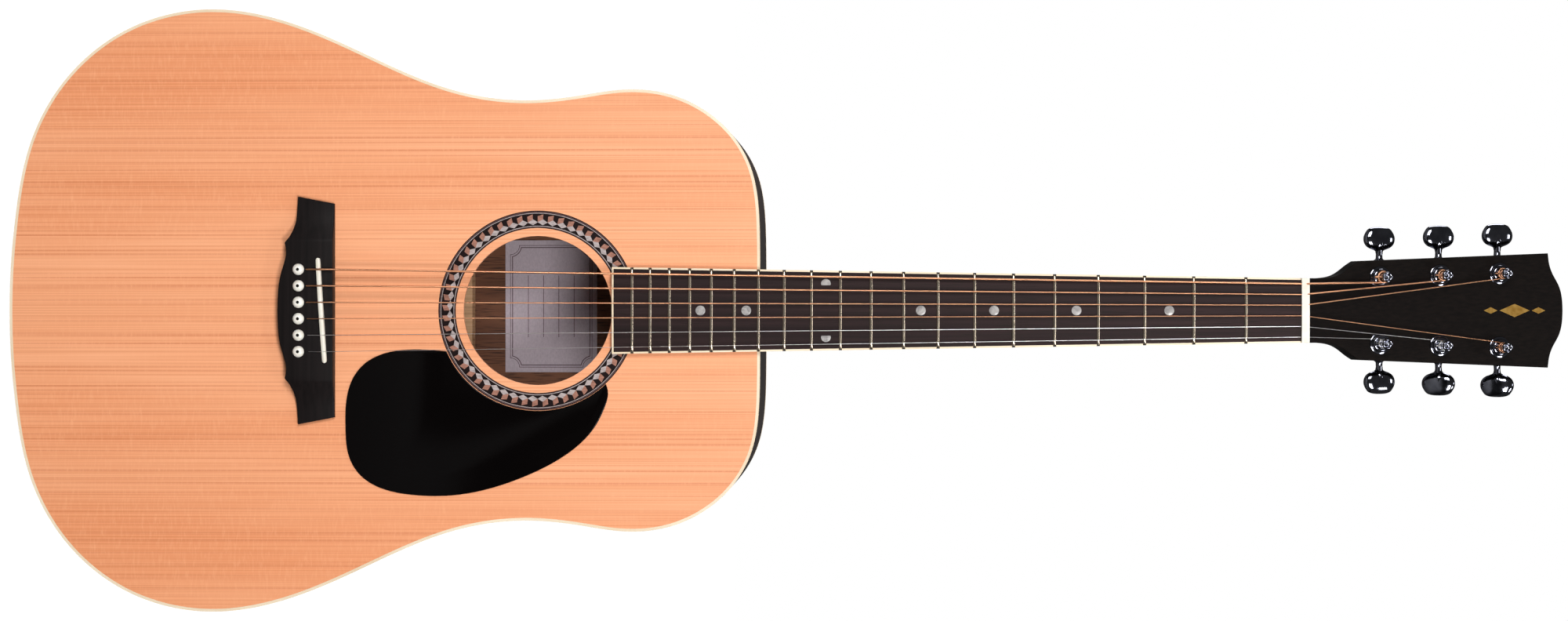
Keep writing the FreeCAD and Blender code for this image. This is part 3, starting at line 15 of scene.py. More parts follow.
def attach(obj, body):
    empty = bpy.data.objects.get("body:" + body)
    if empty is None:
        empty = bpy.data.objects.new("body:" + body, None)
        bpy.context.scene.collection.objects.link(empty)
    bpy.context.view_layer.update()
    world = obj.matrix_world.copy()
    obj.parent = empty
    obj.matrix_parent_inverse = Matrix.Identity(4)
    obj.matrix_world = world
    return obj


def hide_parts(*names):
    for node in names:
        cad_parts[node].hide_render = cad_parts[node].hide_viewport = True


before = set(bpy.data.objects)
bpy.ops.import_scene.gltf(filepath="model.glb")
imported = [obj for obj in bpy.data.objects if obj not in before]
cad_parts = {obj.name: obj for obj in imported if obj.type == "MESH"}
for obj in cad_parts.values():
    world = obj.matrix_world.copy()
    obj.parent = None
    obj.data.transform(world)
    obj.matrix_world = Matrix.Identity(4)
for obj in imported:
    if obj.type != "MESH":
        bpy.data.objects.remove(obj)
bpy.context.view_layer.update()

# ------------------------------------------------------------------------------------------ room
# A plain white floor under the end pin, soft lights to both sides of the front, small ones above it for
# the top and the headstock, a wide one behind, and an even white surround. The eye sees floor and
# surround at full white; the guitar's own surfaces see them dimmer.
FLOOR_HEIGHT = -0.885
FLOOR_HALF = 9.0
FLOOR_PLAN = [(-1, -1), (1, -1), (1, 1), (-1, 1)]
FLOOR_TONE = 0.14
SURROUND_DIM = 0.06
EYE = (0.0, -1.8, -0.2755)
EYE_TILT = math.radians(2.165)      # the eye looks a little down the body from square on
LENS = 61.7


def seen_white(tree, socket, dim):
    """Feeds a strength that is full for the eye and dim for everything else."""
    sight = tree.nodes.new("ShaderNodeLightPath")
    strength = tree.nodes.new("ShaderNodeMapRange")
    strength.inputs["To Min"].default_value = dim
    strength.inputs["To Max"].default_value = 1.0
    tree.links.new(sight.outputs["Is Camera Ray"], strength.inputs["Value"])
    tree.links.new(strength.outputs["Result"], socket)


floor_white = bpy.data.materials.new("floor_white")
floor_white.use_nodes = True
floor_shader = floor_white.node_tree.nodes["Principled BSDF"]
floor_shader.inputs["Base Color"].default_value = (FLOOR_TONE, FLOOR_TONE, FLOOR_TONE, 1)
floor_shader.inputs["Roughness"].default_value = 0.9
floor_shader.inputs["Emission Color"].default_value = (1, 1, 1, 1)
seen_white(floor_white.node_tree, floor_shader.inputs["Emission Strength"], 0.0)
floor_corners = [(x * FLOOR_HALF, y * FLOOR_HALF, FLOOR_HEIGHT) for x, y in FLOOR_PLAN]
floor_mesh = bpy.data.meshes.new("floor")
floor_mesh.from_pydata(floor_corners, [], [(0, 1, 2, 3)])
floor_mesh.materials.append(floor_white)
floor = bpy.data.objects.new("floor", floor_mesh)
bpy.context.scene.collection.objects.link(floor)

world = bpy.data.worlds.new("surround")
world.use_nodes = True
bpy.context.scene.world = world
bpy.context.scene.view_settings.view_transform = "Standard"
background = world.node_tree.nodes["Background"]
background.inputs["Color"].default_value = (1, 1, 1, 1)
seen_white(world.node_tree, background.inputs["Strength"], SURROUND_DIM)


def soft_light(name, place, target, width, power):
    """A square area light at a place, turned to face a target."""
    lamp = bpy.data.lights.new(name, "AREA")
    lamp.size = width
    lamp.energy = power
    light = bpy.data.objects.new(name, lamp)
    light.location = place
    light.rotation_euler = (Vector(target) - Vector(place)).to_track_quat("-Z", "Y").to_euler()
    bpy.context.scene.collection.objects.link(light)


soft_light("key_light", (0.75, -2.2, 0.35), (0, 0, -0.5), 0.6, 33)
soft_light("fill_light", (-1.0, -2.1, 0.0), (0, 0, -0.5), 0.8, 34)
soft_light("top_light", (0.0, -0.75, 2.0), (0, 0, -0.2), 0.4, 5)
soft_light("head_light", (0.9, -1.3, 1.4), (0, 0, 0.1), 0.4, 9)
soft_light("rear_light", (-2.0, 1.3, 0.5), (0, 0.1, -0.4), 1.4, 36)

lens = bpy.data.cameras.new("eye")
lens.lens = LENS
lens.sensor_fit = "HORIZONTAL"
lens.sensor_width = 36
eye = bpy.data.objects.new("eye", lens)
side = math.sin(EYE_TILT)
ahead = math.cos(EYE_TILT)
eye.matrix_world = Matrix((
    (0, -1, 0, EYE[0]),
    (side, 0, -ahead, EYE[1]),
    (ahead, 0, side, EYE[2]),
    (0, 0, 0, 1),
))
bpy.context.scene.collection.objects.link(eye)
bpy.context.scene.camera = eye

# ------------------------------------------------------------------------------------ soundboard
# Two book-matched halves of spruce, sanded smooth under a thin satin lacquer. The winter growth runs as fine
# dark lines up the board, broader tones drift across it, short silk crosses the grain, and painted shade
# darkens the board towards its rim.
SPRUCE_PALE = (0.90, 0.415, 0.220)
# the warm tone is both the wood's drifting tone and the painted shade at the board's edges
SPRUCE_WARM_EDGE_SHADE = (0.81, 0.315, 0.145)
SPRUCE_LINE = (0.62, 0.21, 0.09)
GROWTH_LINES = 540


def finish(name, roughness, **values):
    """A material with one Principled shader; values name its sockets, with _ for a space."""
    material = bpy.data.materials.new(name)
    material.use_nodes = True
    shader = material.node_tree.nodes["Principled BSDF"]
    shader.inputs["Roughness"].default_value = roughness
    for socket, value in values.items():
        full = (*value, 1) if isinstance(value, tuple) else value
        shader.inputs[socket.replace("_", " ")].default_value = full
    return material


def step(material, kind, feeds=None, **properties):
    """Adds a shader node; feeds maps a socket to a plain value or to another node's output."""
    added = material.node_tree.nodes.new("ShaderNode" + kind)
    for name, value in properties.items():
        setattr(added, name, value)
    for socket, value in (feeds or {}).items():
        if isinstance(value, bpy.types.NodeSocket):
            material.node_tree.links.new(value, added.inputs[socket])
        else:
            added.inputs[socket].default_value = value
    return added


def feed(material, socket, output):
    """Feeds the shader's socket from a node's output."""
    material.node_tree.links.new(output, material.node_tree.nodes["Principled BSDF"].inputs[socket])


def calc(material, operation, first, second=0.0):
    """One step of arithmetic on two values or outputs."""
    return step(material, "Math", {0: first, 1: second}, operation=operation).outputs[0]


def place_on(material, mirrored=False):
    """The point on the object; mirrored folds the +X side over the -X side, as book-matched wood is."""
    point = step(material, "TexCoord").outputs["Object"]
    if not mirrored:
        return point
    parts = step(material, "SeparateXYZ", {0: point})
    folded = calc(material, "ABSOLUTE", parts.outputs[0])
    return step(material, "CombineXYZ", {0: folded, 1: parts.outputs[1], 2: parts.outputs[2]}).outputs[0]


def cloud(material, point, stretch, detail=3.0, rough=0.55, warp=0.0):
    """Noise whose cells are drawn out by a stretch along each axis."""
    mapped = step(material, "Mapping", {"Vector": point, "Scale": stretch})
    feeds = {"Vector": mapped.outputs[0], "Scale": 1.0, "Detail": detail, "Roughness": rough,
             "Distortion": warp}
    return step(material, "TexNoise", feeds).outputs["Fac"]


def blend_of(material, share, first, second, low=0.0, high=1.0):
    """A colour between two, as a share goes from low to high; either may be a node's output."""
    spread = step(material, "MapRange", {"Value": share, "From Min": low, "From Max": high}).outputs[0]
    colours = [value if isinstance(value, bpy.types.NodeSocket) else (*value, 1) for value in (first, second)]
    feeds = {"Factor": spread, 6: colours[0], 7: colours[1]}
    return step(material, "Mix", feeds, data_type="RGBA").outputs[2]


def roughen(material, height, strength, depth):
    """Raises the surface by a height, to a depth in millimetres."""
    feeds = {"Height": height, "Strength": strength, "Distance": depth / 1000}
    feed(material, "Normal", step(material, "Bump", feeds).outputs[0])


def spruce(name, pale, warm_edge_shade, line, roughness, coat):
    """Straight-grained spruce: growth lines in |x|, drifting tones, and silk across the grain.

    The tone is the drift less 0.9 of the distance from the joint in metres, so the edges are painted warmer
    and darker: painted shade for the light falling off towards the rim.
    """
    wood = finish(name, roughness, Coat_Weight=coat, Coat_Roughness=0.3, Specular_IOR_Level=0.3)
    point = place_on(wood, mirrored=True)
    drift = cloud(wood, point, (16, 4, 1.6), 4.0, 0.6)
    # painted shade: the colour darkens with distance from the joint, for the light falling off towards the
    # edges
    painted_edge_shade = calc(wood, "MULTIPLY", step(wood, "SeparateXYZ", {0: point}).outputs[0], 0.9)
    tone = blend_of(wood, calc(wood, "SUBTRACT", drift, painted_edge_shade), warm_edge_shade, pale, 0.22, 0.54)
    fine = cloud(wood, point, (GROWTH_LINES * 2.4, 60, 3.0), 2.0, 0.5)
    rings = cloud(wood, point, (GROWTH_LINES, 8, 0.9), 1.0, 0.4)
    lined = blend_of(wood, rings, line, tone, 0.30, 0.47)
    softened = blend_of(wood, 0.4, lined, tone)
    silk = cloud(wood, point, (110, 30, 640), 2.0, 0.6, 0.6)
    silken = blend_of(wood, silk, softened, pale, 0.48, 1.05)
    dark = blend_of(wood, fine, (0.88, 0.80, 0.72), (1, 1, 1), 0.34, 0.56)
    whole = step(wood, "Mix", {"Factor": 1.0, 6: silken, 7: dark}, data_type="RGBA", blend_type="MULTIPLY")
    feed(wood, "Base Color", whole.outputs[2])
    roughen(wood, rings, 0.25, 0.05)
    return wood


def dress(name, material):
    """Gives a node of the frame a material."""
    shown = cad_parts[name]
    shown.data.materials.clear()
    shown.data.materials.append(material)


dress("soundboard", spruce("spruce_top", SPRUCE_PALE, SPRUCE_WARM_EDGE_SHADE, SPRUCE_LINE, 0.46, 0.08))
inner_spruce = spruce("inner_spruce", (0.72, 0.45, 0.26), (0.56, 0.33, 0.18), (0.42, 0.22, 0.11), 0.8, 0.0)
for inside in ("x_braces", "tone_bars", "transverse_brace", "back_braces", "top_lining", "back_lining"):
    dress(inside, inner_spruce)

# --------------------------------------------------------------------------------------- rosette
# A channel round the soundhole holds thin rings of dyed and white wood, and between them a band of
# tumbling blocks: each cube is a white lozenge and a tan one set into black.
HOLE_Z = -509.3
ROSETTE_LOW = -1.15             # depth of the channel, behind the face
CUBES = 56
MOSAIC_INNER = 57.3
MOSAIC_OUTER = 64.9
RINGS = [
    (55.5, 55.95, 0), (55.95, 56.25, 3), (56.25, 56.5, 0), (56.5, 56.95, 1), (56.95, 57.3, 0),
    (64.9, 65.25, 0), (65.25, 65.65, 1), (65.65, 65.95, 0), (65.95, 66.6, 3), (66.6, 67.2, 0),
]
INLAY = [(0.010, 0.004, 0.004), (0.47, 0.40, 0.39), (0.38, 0.18, 0.13), (0.10, 0.055, 0.055)]


def solid(name, parts, material, body="root", instead=(), crease=38, inks=None):
    """A piece made of closed skins, each a grid of points in millimetres, one ring after another.

    Every skin joins ring i to ring i + 1 with four-sided faces and closes its first and last ring with a
    flat face; a part given as (rings, True) joins its last ring to its first instead. Faces are turned
    outwards by the sign of the volume that they enclose. inks gives each part its material's number.
    """
    points, faces, numbers, start = [], [], [], 0
    for number, part in enumerate(parts):
        rings, looped = part if isinstance(part, tuple) else (part, False)
        rings = np.asarray(rings, float) / 1000
        count, round_count = rings.shape[:2]
        rows = np.arange(count if looped else count - 1)[:, None]
        columns = np.arange(round_count)[None, :]
        after_row, after_column = (rows + 1) % count, (columns + 1) % round_count
        quads = np.stack([
            rows * round_count + columns, rows * round_count + after_column,
            after_row * round_count + after_column, after_row * round_count + columns,
        ], axis=-1).reshape(-1, 4)
        flat = rings.reshape(-1, 3)
        corner = flat[quads]
        normals = np.cross(corner[:, 2] - corner[:, 0], corner[:, 3] - corner[:, 1])
        volume = (normals * (corner.mean(axis=1) - flat.mean(axis=0))).sum()
        made = quads.tolist()
        if not looped:
            made.append(list(range(round_count))[::-1])
            made.append(list(range((count - 1) * round_count, count * round_count)))
        if volume < 0:
            made = [face[::-1] for face in made]
        faces += [[index + start for index in face] for face in made]
        numbers += [inks[number] if inks else 0] * len(made)
        points.append(flat)
        start += len(flat)
    mesh = bpy.data.meshes.new(name)
    mesh.from_pydata(np.concatenate(points).tolist(), [], faces)
    for ink in material if isinstance(material, list) else [material]:
        mesh.materials.append(ink)
    mesh.polygons.foreach_set("material_index", numbers)
    mesh.shade_smooth()
    mesh.set_sharp_from_angle(angle=math.radians(crease))
    piece = bpy.data.objects.new(name, mesh)
    bpy.context.scene.collection.objects.link(piece)
    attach(piece, body)
    if instead:
        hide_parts(*instead)
    return piece


def turned(profile, centre, axis, facets=48):
    """Rings round an axis: each (radius, height) of a profile carried in a circle about a centre."""
    axis = np.asarray(axis, float) / np.linalg.norm(axis)
    start = np.cross(axis, (1, 0, 0) if abs(axis[0]) < 0.8 else (0, 0, 1))
    start /= np.linalg.norm(start)
    turn = np.linspace(0, 2 * np.pi, facets, endpoint=False)[None, :, None]
    around = np.cos(turn) * start + np.sin(turn) * np.cross(axis, start)
    profile = np.asarray(profile, float)
    return np.asarray(centre) + profile[:, 0, None, None] * around + profile[:, 1, None, None] * axis


def band(inner, outer, low, high):
    """The closed outline of a flat ring, to be turned about its axis."""
    return [(inner, low), (outer, low), (outer, high), (inner, high)]


def tile(corners, low, high):
    """A flat tile of the mosaic; corners are (cubes along the band, share of its width)."""
    corners = np.asarray(corners, float)
    turn = corners[:, 0] * 2 * np.pi / CUBES
    reach = MOSAIC_INNER + corners[:, 1] * (MOSAIC_OUTER - MOSAIC_INNER)
    plan = np.stack([reach * np.cos(turn), np.zeros(len(turn)), HOLE_Z + reach * np.sin(turn)], axis=1)
    return np.stack([plan - (0, low, 0), plan - (0, high, 0)])


def mottled(name, roughness, deep, light, *cells, spread=(0.3, 0.7), relief=None, **values):
    """A finish whose colour goes from a deep tone to a light one as soft clouds go over the spread.

    The cells are cloud's stretch, detail, roughness and warp; relief is roughen's strength and depth.
    """
    material = finish(name, roughness, **values)
    drift = cloud(material, place_on(material), *cells)
    feed(material, "Base Color", blend_of(material, drift, deep, light, *spread))
    if relief:
        roughen(material, drift, *relief)
    return material


hole_centre = (0, 0, HOLE_Z)
outward = (0, -1, 0)
parts = [(turned(band(MOSAIC_INNER, MOSAIC_OUTER, ROSETTE_LOW, -0.02), hole_centre, outward, 224), True)]
inks = [0]
for inner, outer, ink in RINGS:
    parts.append((turned(band(inner, outer, ROSETTE_LOW, 0.01), hole_centre, outward, 224), True))
    inks.append(ink)
for cube in range(CUBES):
    white = [(cube, 0.28), (cube + 0.48, 0.02), (cube + 1, 0.28), (cube + 0.48, 0.54)]
    tan = [(cube + 0.48, 0.98), (cube + 1, 0.80), (cube + 1, 0.28), (cube + 0.48, 0.54)]
    parts += [tile(white, -0.6, 0.01), tile(tan, -0.6, 0.01)]
    inks += [1, 2]
woods = []
for number, colour in enumerate(INLAY):
    shade = tuple(channel * 0.62 for channel in colour)
    woods.append(mottled(f"rosette_wood_{number + 1}", 0.4, shade, colour, (900, 900, 300), 2.0,
                         spread=(0.30, 0.62), Specular_IOR_Level=0.12))
solid("rosette_rings", parts, woods, instead=["rosette"], inks=inks)

# ------------------------------------------------------------------------------ body's own edge
# The ribs are bent round a mould whose outline is one smooth closed curve: a full lower bout, a
# drawn-in waist and a squarer upper bout. Everything that follows the edge is laid along it.
JOINT = -359.6
BODY_LENGTH = 509.1
TAIL = JOINT - BODY_LENGTH
LOWER, WAIST, UPPER = 407.0, 282.8, 297.0
LOWER_AT, WAIST_AT, UPPER_AT = 138.3, 356.7, 419.8
BACK_ARCH = 4600.0
TAIL_DEPTH, NECK_DEPTH = 120.0, 100.0


def through(points, count, closed=False):
    """A smooth curve through points, sampled evenly between them.

    Each span is a cubic in the distance between its two points, and the slopes at the points are solved
    together so that the bend runs on unbroken from span to span; a closed curve wraps round.
    """
    points = np.asarray(points, float)
    if closed:
        points = np.vstack([points, points[:1]])
    last = len(points) - 1
    gaps = np.linalg.norm(np.diff(points, axis=0), axis=1)
    slants = np.diff(points, axis=0) / gaps[:, None]
    rule = np.zeros((last + 1, last + 1))
    goal = np.zeros_like(points)
    inner = np.arange(1, last)
    rule[inner, inner - 1], rule[inner, inner + 1] = gaps[1:], gaps[:-1]
    rule[inner, inner] = 2 * (gaps[:-1] + gaps[1:])
    goal[1:last] = 3 * (gaps[1:, None] * slants[:-1] + gaps[:-1, None] * slants[1:])
    rule[0, 0], rule[0, 1], goal[0] = 2, 1, 3 * slants[0]
    rule[last, last], rule[last, last - 1], goal[last] = 2, 1, 3 * slants[-1]
    if closed:
        rule[0], rule[last] = 0, 0
        rule[0, 0], rule[0, last - 1], rule[0, 1] = 2 * (gaps[-1] + gaps[0]), gaps[0], gaps[-1]
        goal[0] = 3 * (gaps[0] * slants[-1] + gaps[-1] * slants[0])
        rule[last, last], rule[last, 0], goal[last] = 1, -1, 0
    slopes = np.linalg.solve(rule, goal)
    knots = np.concatenate([[0], np.cumsum(gaps)])
    along = np.linspace(0, knots[-1], count, endpoint=not closed)
    span = np.clip(np.searchsorted(knots, along, side="right") - 1, 0, last - 1)
    gap = gaps[span][:, None]
    share = ((along - knots[span]) / gaps[span])[:, None]
    rest = 1 - share
    return (
        points[span] * rest ** 2 * (1 + 2 * share) + points[span + 1] * share ** 2 * (1 + 2 * rest)
        + slopes[span] * gap * share * rest ** 2 - slopes[span + 1] * gap * share ** 2 * rest
    )


def stretch_of(low, high, width_low, width_high, shape):
    """Points between two stations: each is (share of the run, share of the widening)."""
    shape = np.asarray(shape, float)
    across = (width_low + shape[:, 1] * (width_high - width_low)) / 2
    return np.stack([across, TAIL + low + shape[:, 0] * (high - low)], axis=1)


TAIL_SHAPE = [
    (0, 0), (0.0115, 0.197), (0.0245, 0.285), (0.107, 0.565), (0.265, 0.759), (0.575, 0.932), (1, 1),
]
FLANK_SHAPE = [(0.171, 0.923), (0.366, 0.686), (0.561, 0.369), (0.755, 0.108), (1, 0)]
SHOULDER_SHAPE = [(0.498, 0.437), (1, 1)]
CROWN_SHAPE = [
    (0.354, 0.971), (0.590, 0.902), (0.797, 0.789), (0.930, 0.646), (0.988, 0.462), (0.998, 0.3), (1, 0),
]
half_edge = np.vstack([
    stretch_of(0, LOWER_AT, 0, LOWER, TAIL_SHAPE),
    stretch_of(LOWER_AT, WAIST_AT, WAIST, LOWER, FLANK_SHAPE),
    stretch_of(WAIST_AT, UPPER_AT, WAIST, UPPER, SHOULDER_SHAPE),
    stretch_of(UPPER_AT, BODY_LENGTH, 0, UPPER, CROWN_SHAPE),
])
EDGE_POINTS = 440
edge = through(np.vstack([half_edge, half_edge[-2:0:-1] * (-1, 1)]), EDGE_POINTS, closed=True)


def square_to(loop):
    """Unit steps square to a closed plan outline, pointing into it."""
    along = np.roll(loop, -1, axis=0) - np.roll(loop, 1, axis=0)
    along /= np.linalg.norm(along, axis=1)[:, None]
    inward = np.stack([-along[:, 1], along[:, 0]], axis=1)
    area = (loop[:, 0] * along[:, 1] - loop[:, 1] * along[:, 0]).sum()
    return inward * np.sign(area)


edge_inward = square_to(edge - edge.mean(axis=0))
BACK_MIDDLE = (JOINT + TAIL) / 2 - BACK_ARCH * (TAIL_DEPTH - NECK_DEPTH) / BODY_LENGTH
BACK_CENTRE = TAIL_DEPTH - math.sqrt(BACK_ARCH ** 2 - (TAIL - BACK_MIDDLE) ** 2)


def back_depth(plan, inside=0.0):
    """How deep the arched back lies under points of the plan: a great ball, drawn in by an inside gap."""
    reach = (BACK_ARCH - inside) ** 2 - plan[..., 0] ** 2 - (plan[..., 1] - BACK_MIDDLE) ** 2
    return BACK_CENTRE + np.sqrt(reach)


def along_edge(section):
    """Carries a cross-section round the edge; a section gives (inset, depth) arrays for the whole edge."""
    rings = []
    for inset, depth in section:
        plan = edge + edge_inward * inset
        rings.append(np.stack([plan[:, 0], depth + 0 * plan[:, 0], plan[:, 1]], axis=1))
    return np.stack(rings, axis=1)


# --------------------------------------------------------------------------------------- binding
# Cream plastic strips glued round both edges of the box and scraped flush with the board and the back.
# The outer face leans in from its square edge to a shallow groove and comes out again to the rib.
BIND_WIDTH = 1.9
BIND_DEPTH = 5.5
GROOVE = 0.9
PROUD = 0.02
cream = mottled("cream_binding", 0.28, (0.80, 0.62, 0.42), (0.93, 0.80, 0.60), (14, 14, 14),
                Coat_Weight=0.5, Coat_Roughness=0.12, Subsurface_Weight=0.05)
back_edge = back_depth(edge)
lean_in = GROOVE * (1 - np.cos(np.linspace(0, math.pi / 2, 5)))
top_section = [(BIND_WIDTH, -PROUD), *((inset, inset - PROUD) for inset in lean_in), (0, BIND_DEPTH),
               (BIND_WIDTH, BIND_DEPTH)]
back_section = [(0, back_edge - BIND_DEPTH), *((inset, back_edge - inset) for inset in lean_in[::-1]),
                (BIND_WIDTH, back_edge), (BIND_WIDTH, back_edge - BIND_DEPTH)]
for name, section, node in (("top_edging", top_section, "top_binding"),
                            ("back_edging", back_section, "back_binding")):
    solid(name, [(along_edge(section), True)], cream, instead=[node])

# --------------------------------------------------------------------------------- ribs and back
# Mahogany stained a very dark brown under gloss lacquer: two ribs meeting at the tail and the neck,
# and a back of two book-matched halves, arched both ways. Inside, the same wood is left bare.
RIB_THICKNESS = 2.4
BACK_THICKNESS = 2.6


def open_pored(wood, point, tones, ribbon, ribbon_spread, pores, pore_spread, relief):
    """Drawn-out pores, cut a little into the surface, over soft ribbons that shift in tone.

    The tones are pore, deep and light; ribbon and pores are cloud's stretch, detail, roughness and warp.
    """
    tone = blend_of(wood, cloud(wood, point, *ribbon), tones[1], tones[2], *ribbon_spread)
    fine = cloud(wood, point, *pores)
    feed(wood, "Base Color", blend_of(wood, fine, tones[0], tone, *pore_spread))
    roughen(wood, fine, *relief)


def mahogany(name, deep, light, roughness, coat):
    """Book-matched mahogany, its pores a third as bright as its deep tone."""
    wood = finish(name, roughness, Coat_Weight=coat, Coat_Roughness=0.06)
    tones = (tuple(channel * 0.35 for channel in deep), deep, light)
    open_pored(wood, place_on(wood, mirrored=True), tones, ((26, 26, 1.4), 3.0, 0.55, 0.4), (0.34, 0.66),
               ((900, 900, 27), 2.0, 0.5), (0.30, 0.48), (0.12, 0.04))
    return wood


rib_wood = mahogany("rib_mahogany", (0.020, 0.0065, 0.004), (0.050, 0.017, 0.009), 0.35, 0.4)
bare_mahogany = mahogany("bare_mahogany", (0.11, 0.038, 0.016), (0.23, 0.088, 0.040), 0.7, 0.0)
wall_section = [(0, BIND_DEPTH), (0, back_edge - BIND_DEPTH), (RIB_THICKNESS, back_edge - BIND_DEPTH),
                (RIB_THICKNESS, BIND_DEPTH)]
wall = along_edge(wall_section)
half = EDGE_POINTS // 2
treble_wall = wall[np.arange(0, half + 1)]
bass_wall = wall[np.arange(half, EDGE_POINTS + 1) % EDGE_POINTS]
for name, rib, node in (("rib_treble", treble_wall, "side_treble"), ("rib_bass", bass_wall, "side_bass")):
    solid(name, [rib], rib_wood, instead=[node])


def plate_rings(loop, shares, inside):
    """Rings that shrink a plan outline to its middle, laid on the back's ball at an inside gap."""
    middle = np.array([0.0, TAIL + WAIST_AT])
    plan = middle + (loop - middle) * np.asarray(shares)[:, None, None]
    return np.stack([plan[..., 0], back_depth(plan, inside), plan[..., 1]], axis=-1)


shares = np.concatenate([[0.001], np.linspace(0.06, 1, 16)])
loop = edge + edge_inward * (BIND_WIDTH - 0.1)
back_rings = np.concatenate([plate_rings(loop, shares, 0), plate_rings(loop, shares[::-1], BACK_THICKNESS)])
back_mahogany = mahogany("back_mahogany", (0.030, 0.0100, 0.0055), (0.085, 0.030, 0.015), 0.35, 1.0)
back = solid("back_plate_arched", [back_rings], [back_mahogany, bare_mahogany],
             instead=["back_plate"])
faces_in = np.zeros(len(back.data.polygons), int)
faces_in[len(shares) * EDGE_POINTS:] = 1
back.data.polygons.foreach_set("material_index", faces_in)
for inside in ("neck_block", "tail_block", "bridge_plate"):
    dress(inside, bare_mahogany)

# ----------------------------------------------------------------------------------------- label
# A paper label glued to the back under the soundhole: two thin printed borders with hollow corners,
# and blank ruled lines for the maker to fill in.
LABEL_HALF = (47.0, 33.0)
LABEL_CENTRE = (-3.0, -513.8)
BORDER = 3.6
CORNER_HOLLOW = 6.5
RULE_STEP, RULE_WIDTH = 11.0, 0.44
RULED_HALF = (22.0, 18.0)
paper = finish("label_paper", 0.85)
spot = step(paper, "SeparateXYZ", {0: place_on(paper)})
from_x = calc(paper, "ABSOLUTE", calc(paper, "SUBTRACT", spot.outputs[0], LABEL_CENTRE[0] / 1000))
from_z = calc(paper, "ABSOLUTE", calc(paper, "SUBTRACT", spot.outputs[2], LABEL_CENTRE[1] / 1000))
gap_x = calc(paper, "SUBTRACT", LABEL_HALF[0] / 1000, from_x)
gap_z = calc(paper, "SUBTRACT", LABEL_HALF[1] / 1000, from_z)
corner_x = calc(paper, "POWER", calc(paper, "SUBTRACT", gap_x, BORDER / 1000), 2.0)
corner_z = calc(paper, "POWER", calc(paper, "SUBTRACT", gap_z, BORDER / 1000), 2.0)
reach = calc(paper, "SQRT", calc(paper, "ADD", corner_x, corner_z))
hollow = calc(paper, "SUBTRACT", reach, (CORNER_HOLLOW - BORDER) / 1000)
rim = calc(paper, "MINIMUM", calc(paper, "MINIMUM", gap_x, gap_z), hollow)
ink = 0.0
for distance, width in ((BORDER, 0.18), (BORDER + 1.5, 0.28)):
    line = calc(paper, "COMPARE", rim, distance / 1000)
    line.node.inputs[2].default_value = width / 1000
    ink = calc(paper, "MAXIMUM", ink, line)
ruled = calc(paper, "COMPARE", calc(paper, "PINGPONG", from_z, RULE_STEP / 2000), RULE_STEP / 2000)
ruled.node.inputs[2].default_value = RULE_WIDTH / 2000
ruled = calc(paper, "MULTIPLY", ruled, calc(paper, "LESS_THAN", from_z, RULED_HALF[1] / 1000))
ruled = calc(paper, "MULTIPLY", ruled, calc(paper, "LESS_THAN", from_x, RULED_HALF[0] / 1000))
ink = calc(paper, "MAXIMUM", ink, ruled)
fibres = cloud(paper, place_on(paper), (500, 500, 900), 3.0)
sheet_tone = blend_of(paper, fibres, (0.50, 0.42, 0.47), (0.60, 0.51, 0.56), 0.3, 0.7)
feed(paper, "Base Color", blend_of(paper, ink, sheet_tone, (0.10, 0.05, 0.06)))
dress("label", paper)

# ------------------------------------------------------------------------------------- pickguard
# Black celluloid about a millimetre thick, cut to a teardrop whose inner edge follows the rosette,
# its rim rounded over and the whole polished.
GUARD_INSIDE = 67.5
GUARD_THICKNESS = 1.0
GUARD_RIM = [
    (43, 0), (41.7, 3.5), (34.2, 12.3), (26.4, 19.6), (16.2, 27.6), (5.3, 35.8), (-5.6, 45.6), (-15.3, 56.8),
    (-24.7, 69.4), (-32.4, 80.1), (-39, 89.4), (-43.8, 94.5), (-48.9, 95.9), (-53.5, 92.5), (-58.2, 85.5),
    (-64.7, 75.8), (-69.6, 66.5), (-73, 54.9), (-74.4, 40.7), (-74, 30.1), (-66, 0),
]


def slab(loop, low, high, rounding):
    """A flat plate from a plan outline: straight walls, and a rim rounded over towards the front.

    Rings climb the wall and then draw in by the rounding times (1 - cos) as they rise by it times sin.
    """
    inward = square_to(loop - loop.mean(axis=0))
    lean = np.linspace(0, math.pi / 2, 5)
    steps = [(0, low)] + [(rounding * (1 - math.cos(a)), high - rounding * (1 - math.sin(a))) for a in lean]
    rings = []
    for inset, height in steps:
        plan = loop + inward * inset
        rings.append(np.stack([plan[:, 0], np.full(len(plan), -height), plan[:, 1]], axis=1))
    return np.stack(rings)


def swung(turn, reach):
    """Points of the plan at an angle and a distance from the middle of the soundhole."""
    return np.stack([reach * np.cos(turn), reach * np.sin(turn)], axis=1)


def wander_gloss(material, share, low, high):
    """Lets the roughness wander between two values."""
    feeds = {"Value": share, "To Min": low, "To Max": high}
    feed(material, "Roughness", step(material, "MapRange", feeds).outputs[0])


rim_degrees, rim_out = np.array(GUARD_RIM).T
rim_turn = np.radians(rim_degrees)
rim_points = swung(rim_turn, GUARD_INSIDE + rim_out)
arc_points = swung(np.linspace(rim_turn[-1], rim_turn[0], 60)[1:-1], GUARD_INSIDE)
guard_loop = np.vstack([through(rim_points, 160), arc_points]) + (0, HOLE_Z)
celluloid = finish("black_celluloid", 0.12, Base_Color=(0.002, 0.0015, 0.0015), Specular_IOR_Level=0.12)
scuffs = cloud(celluloid, place_on(celluloid), (40, 40, 40), 5.0, 0.7)
wander_gloss(celluloid, scuffs, 0.04, 0.11)
solid("guard_plate", [slab(guard_loop, 0, GUARD_THICKNESS, 0.45)], celluloid,
      instead=["pickguard"])

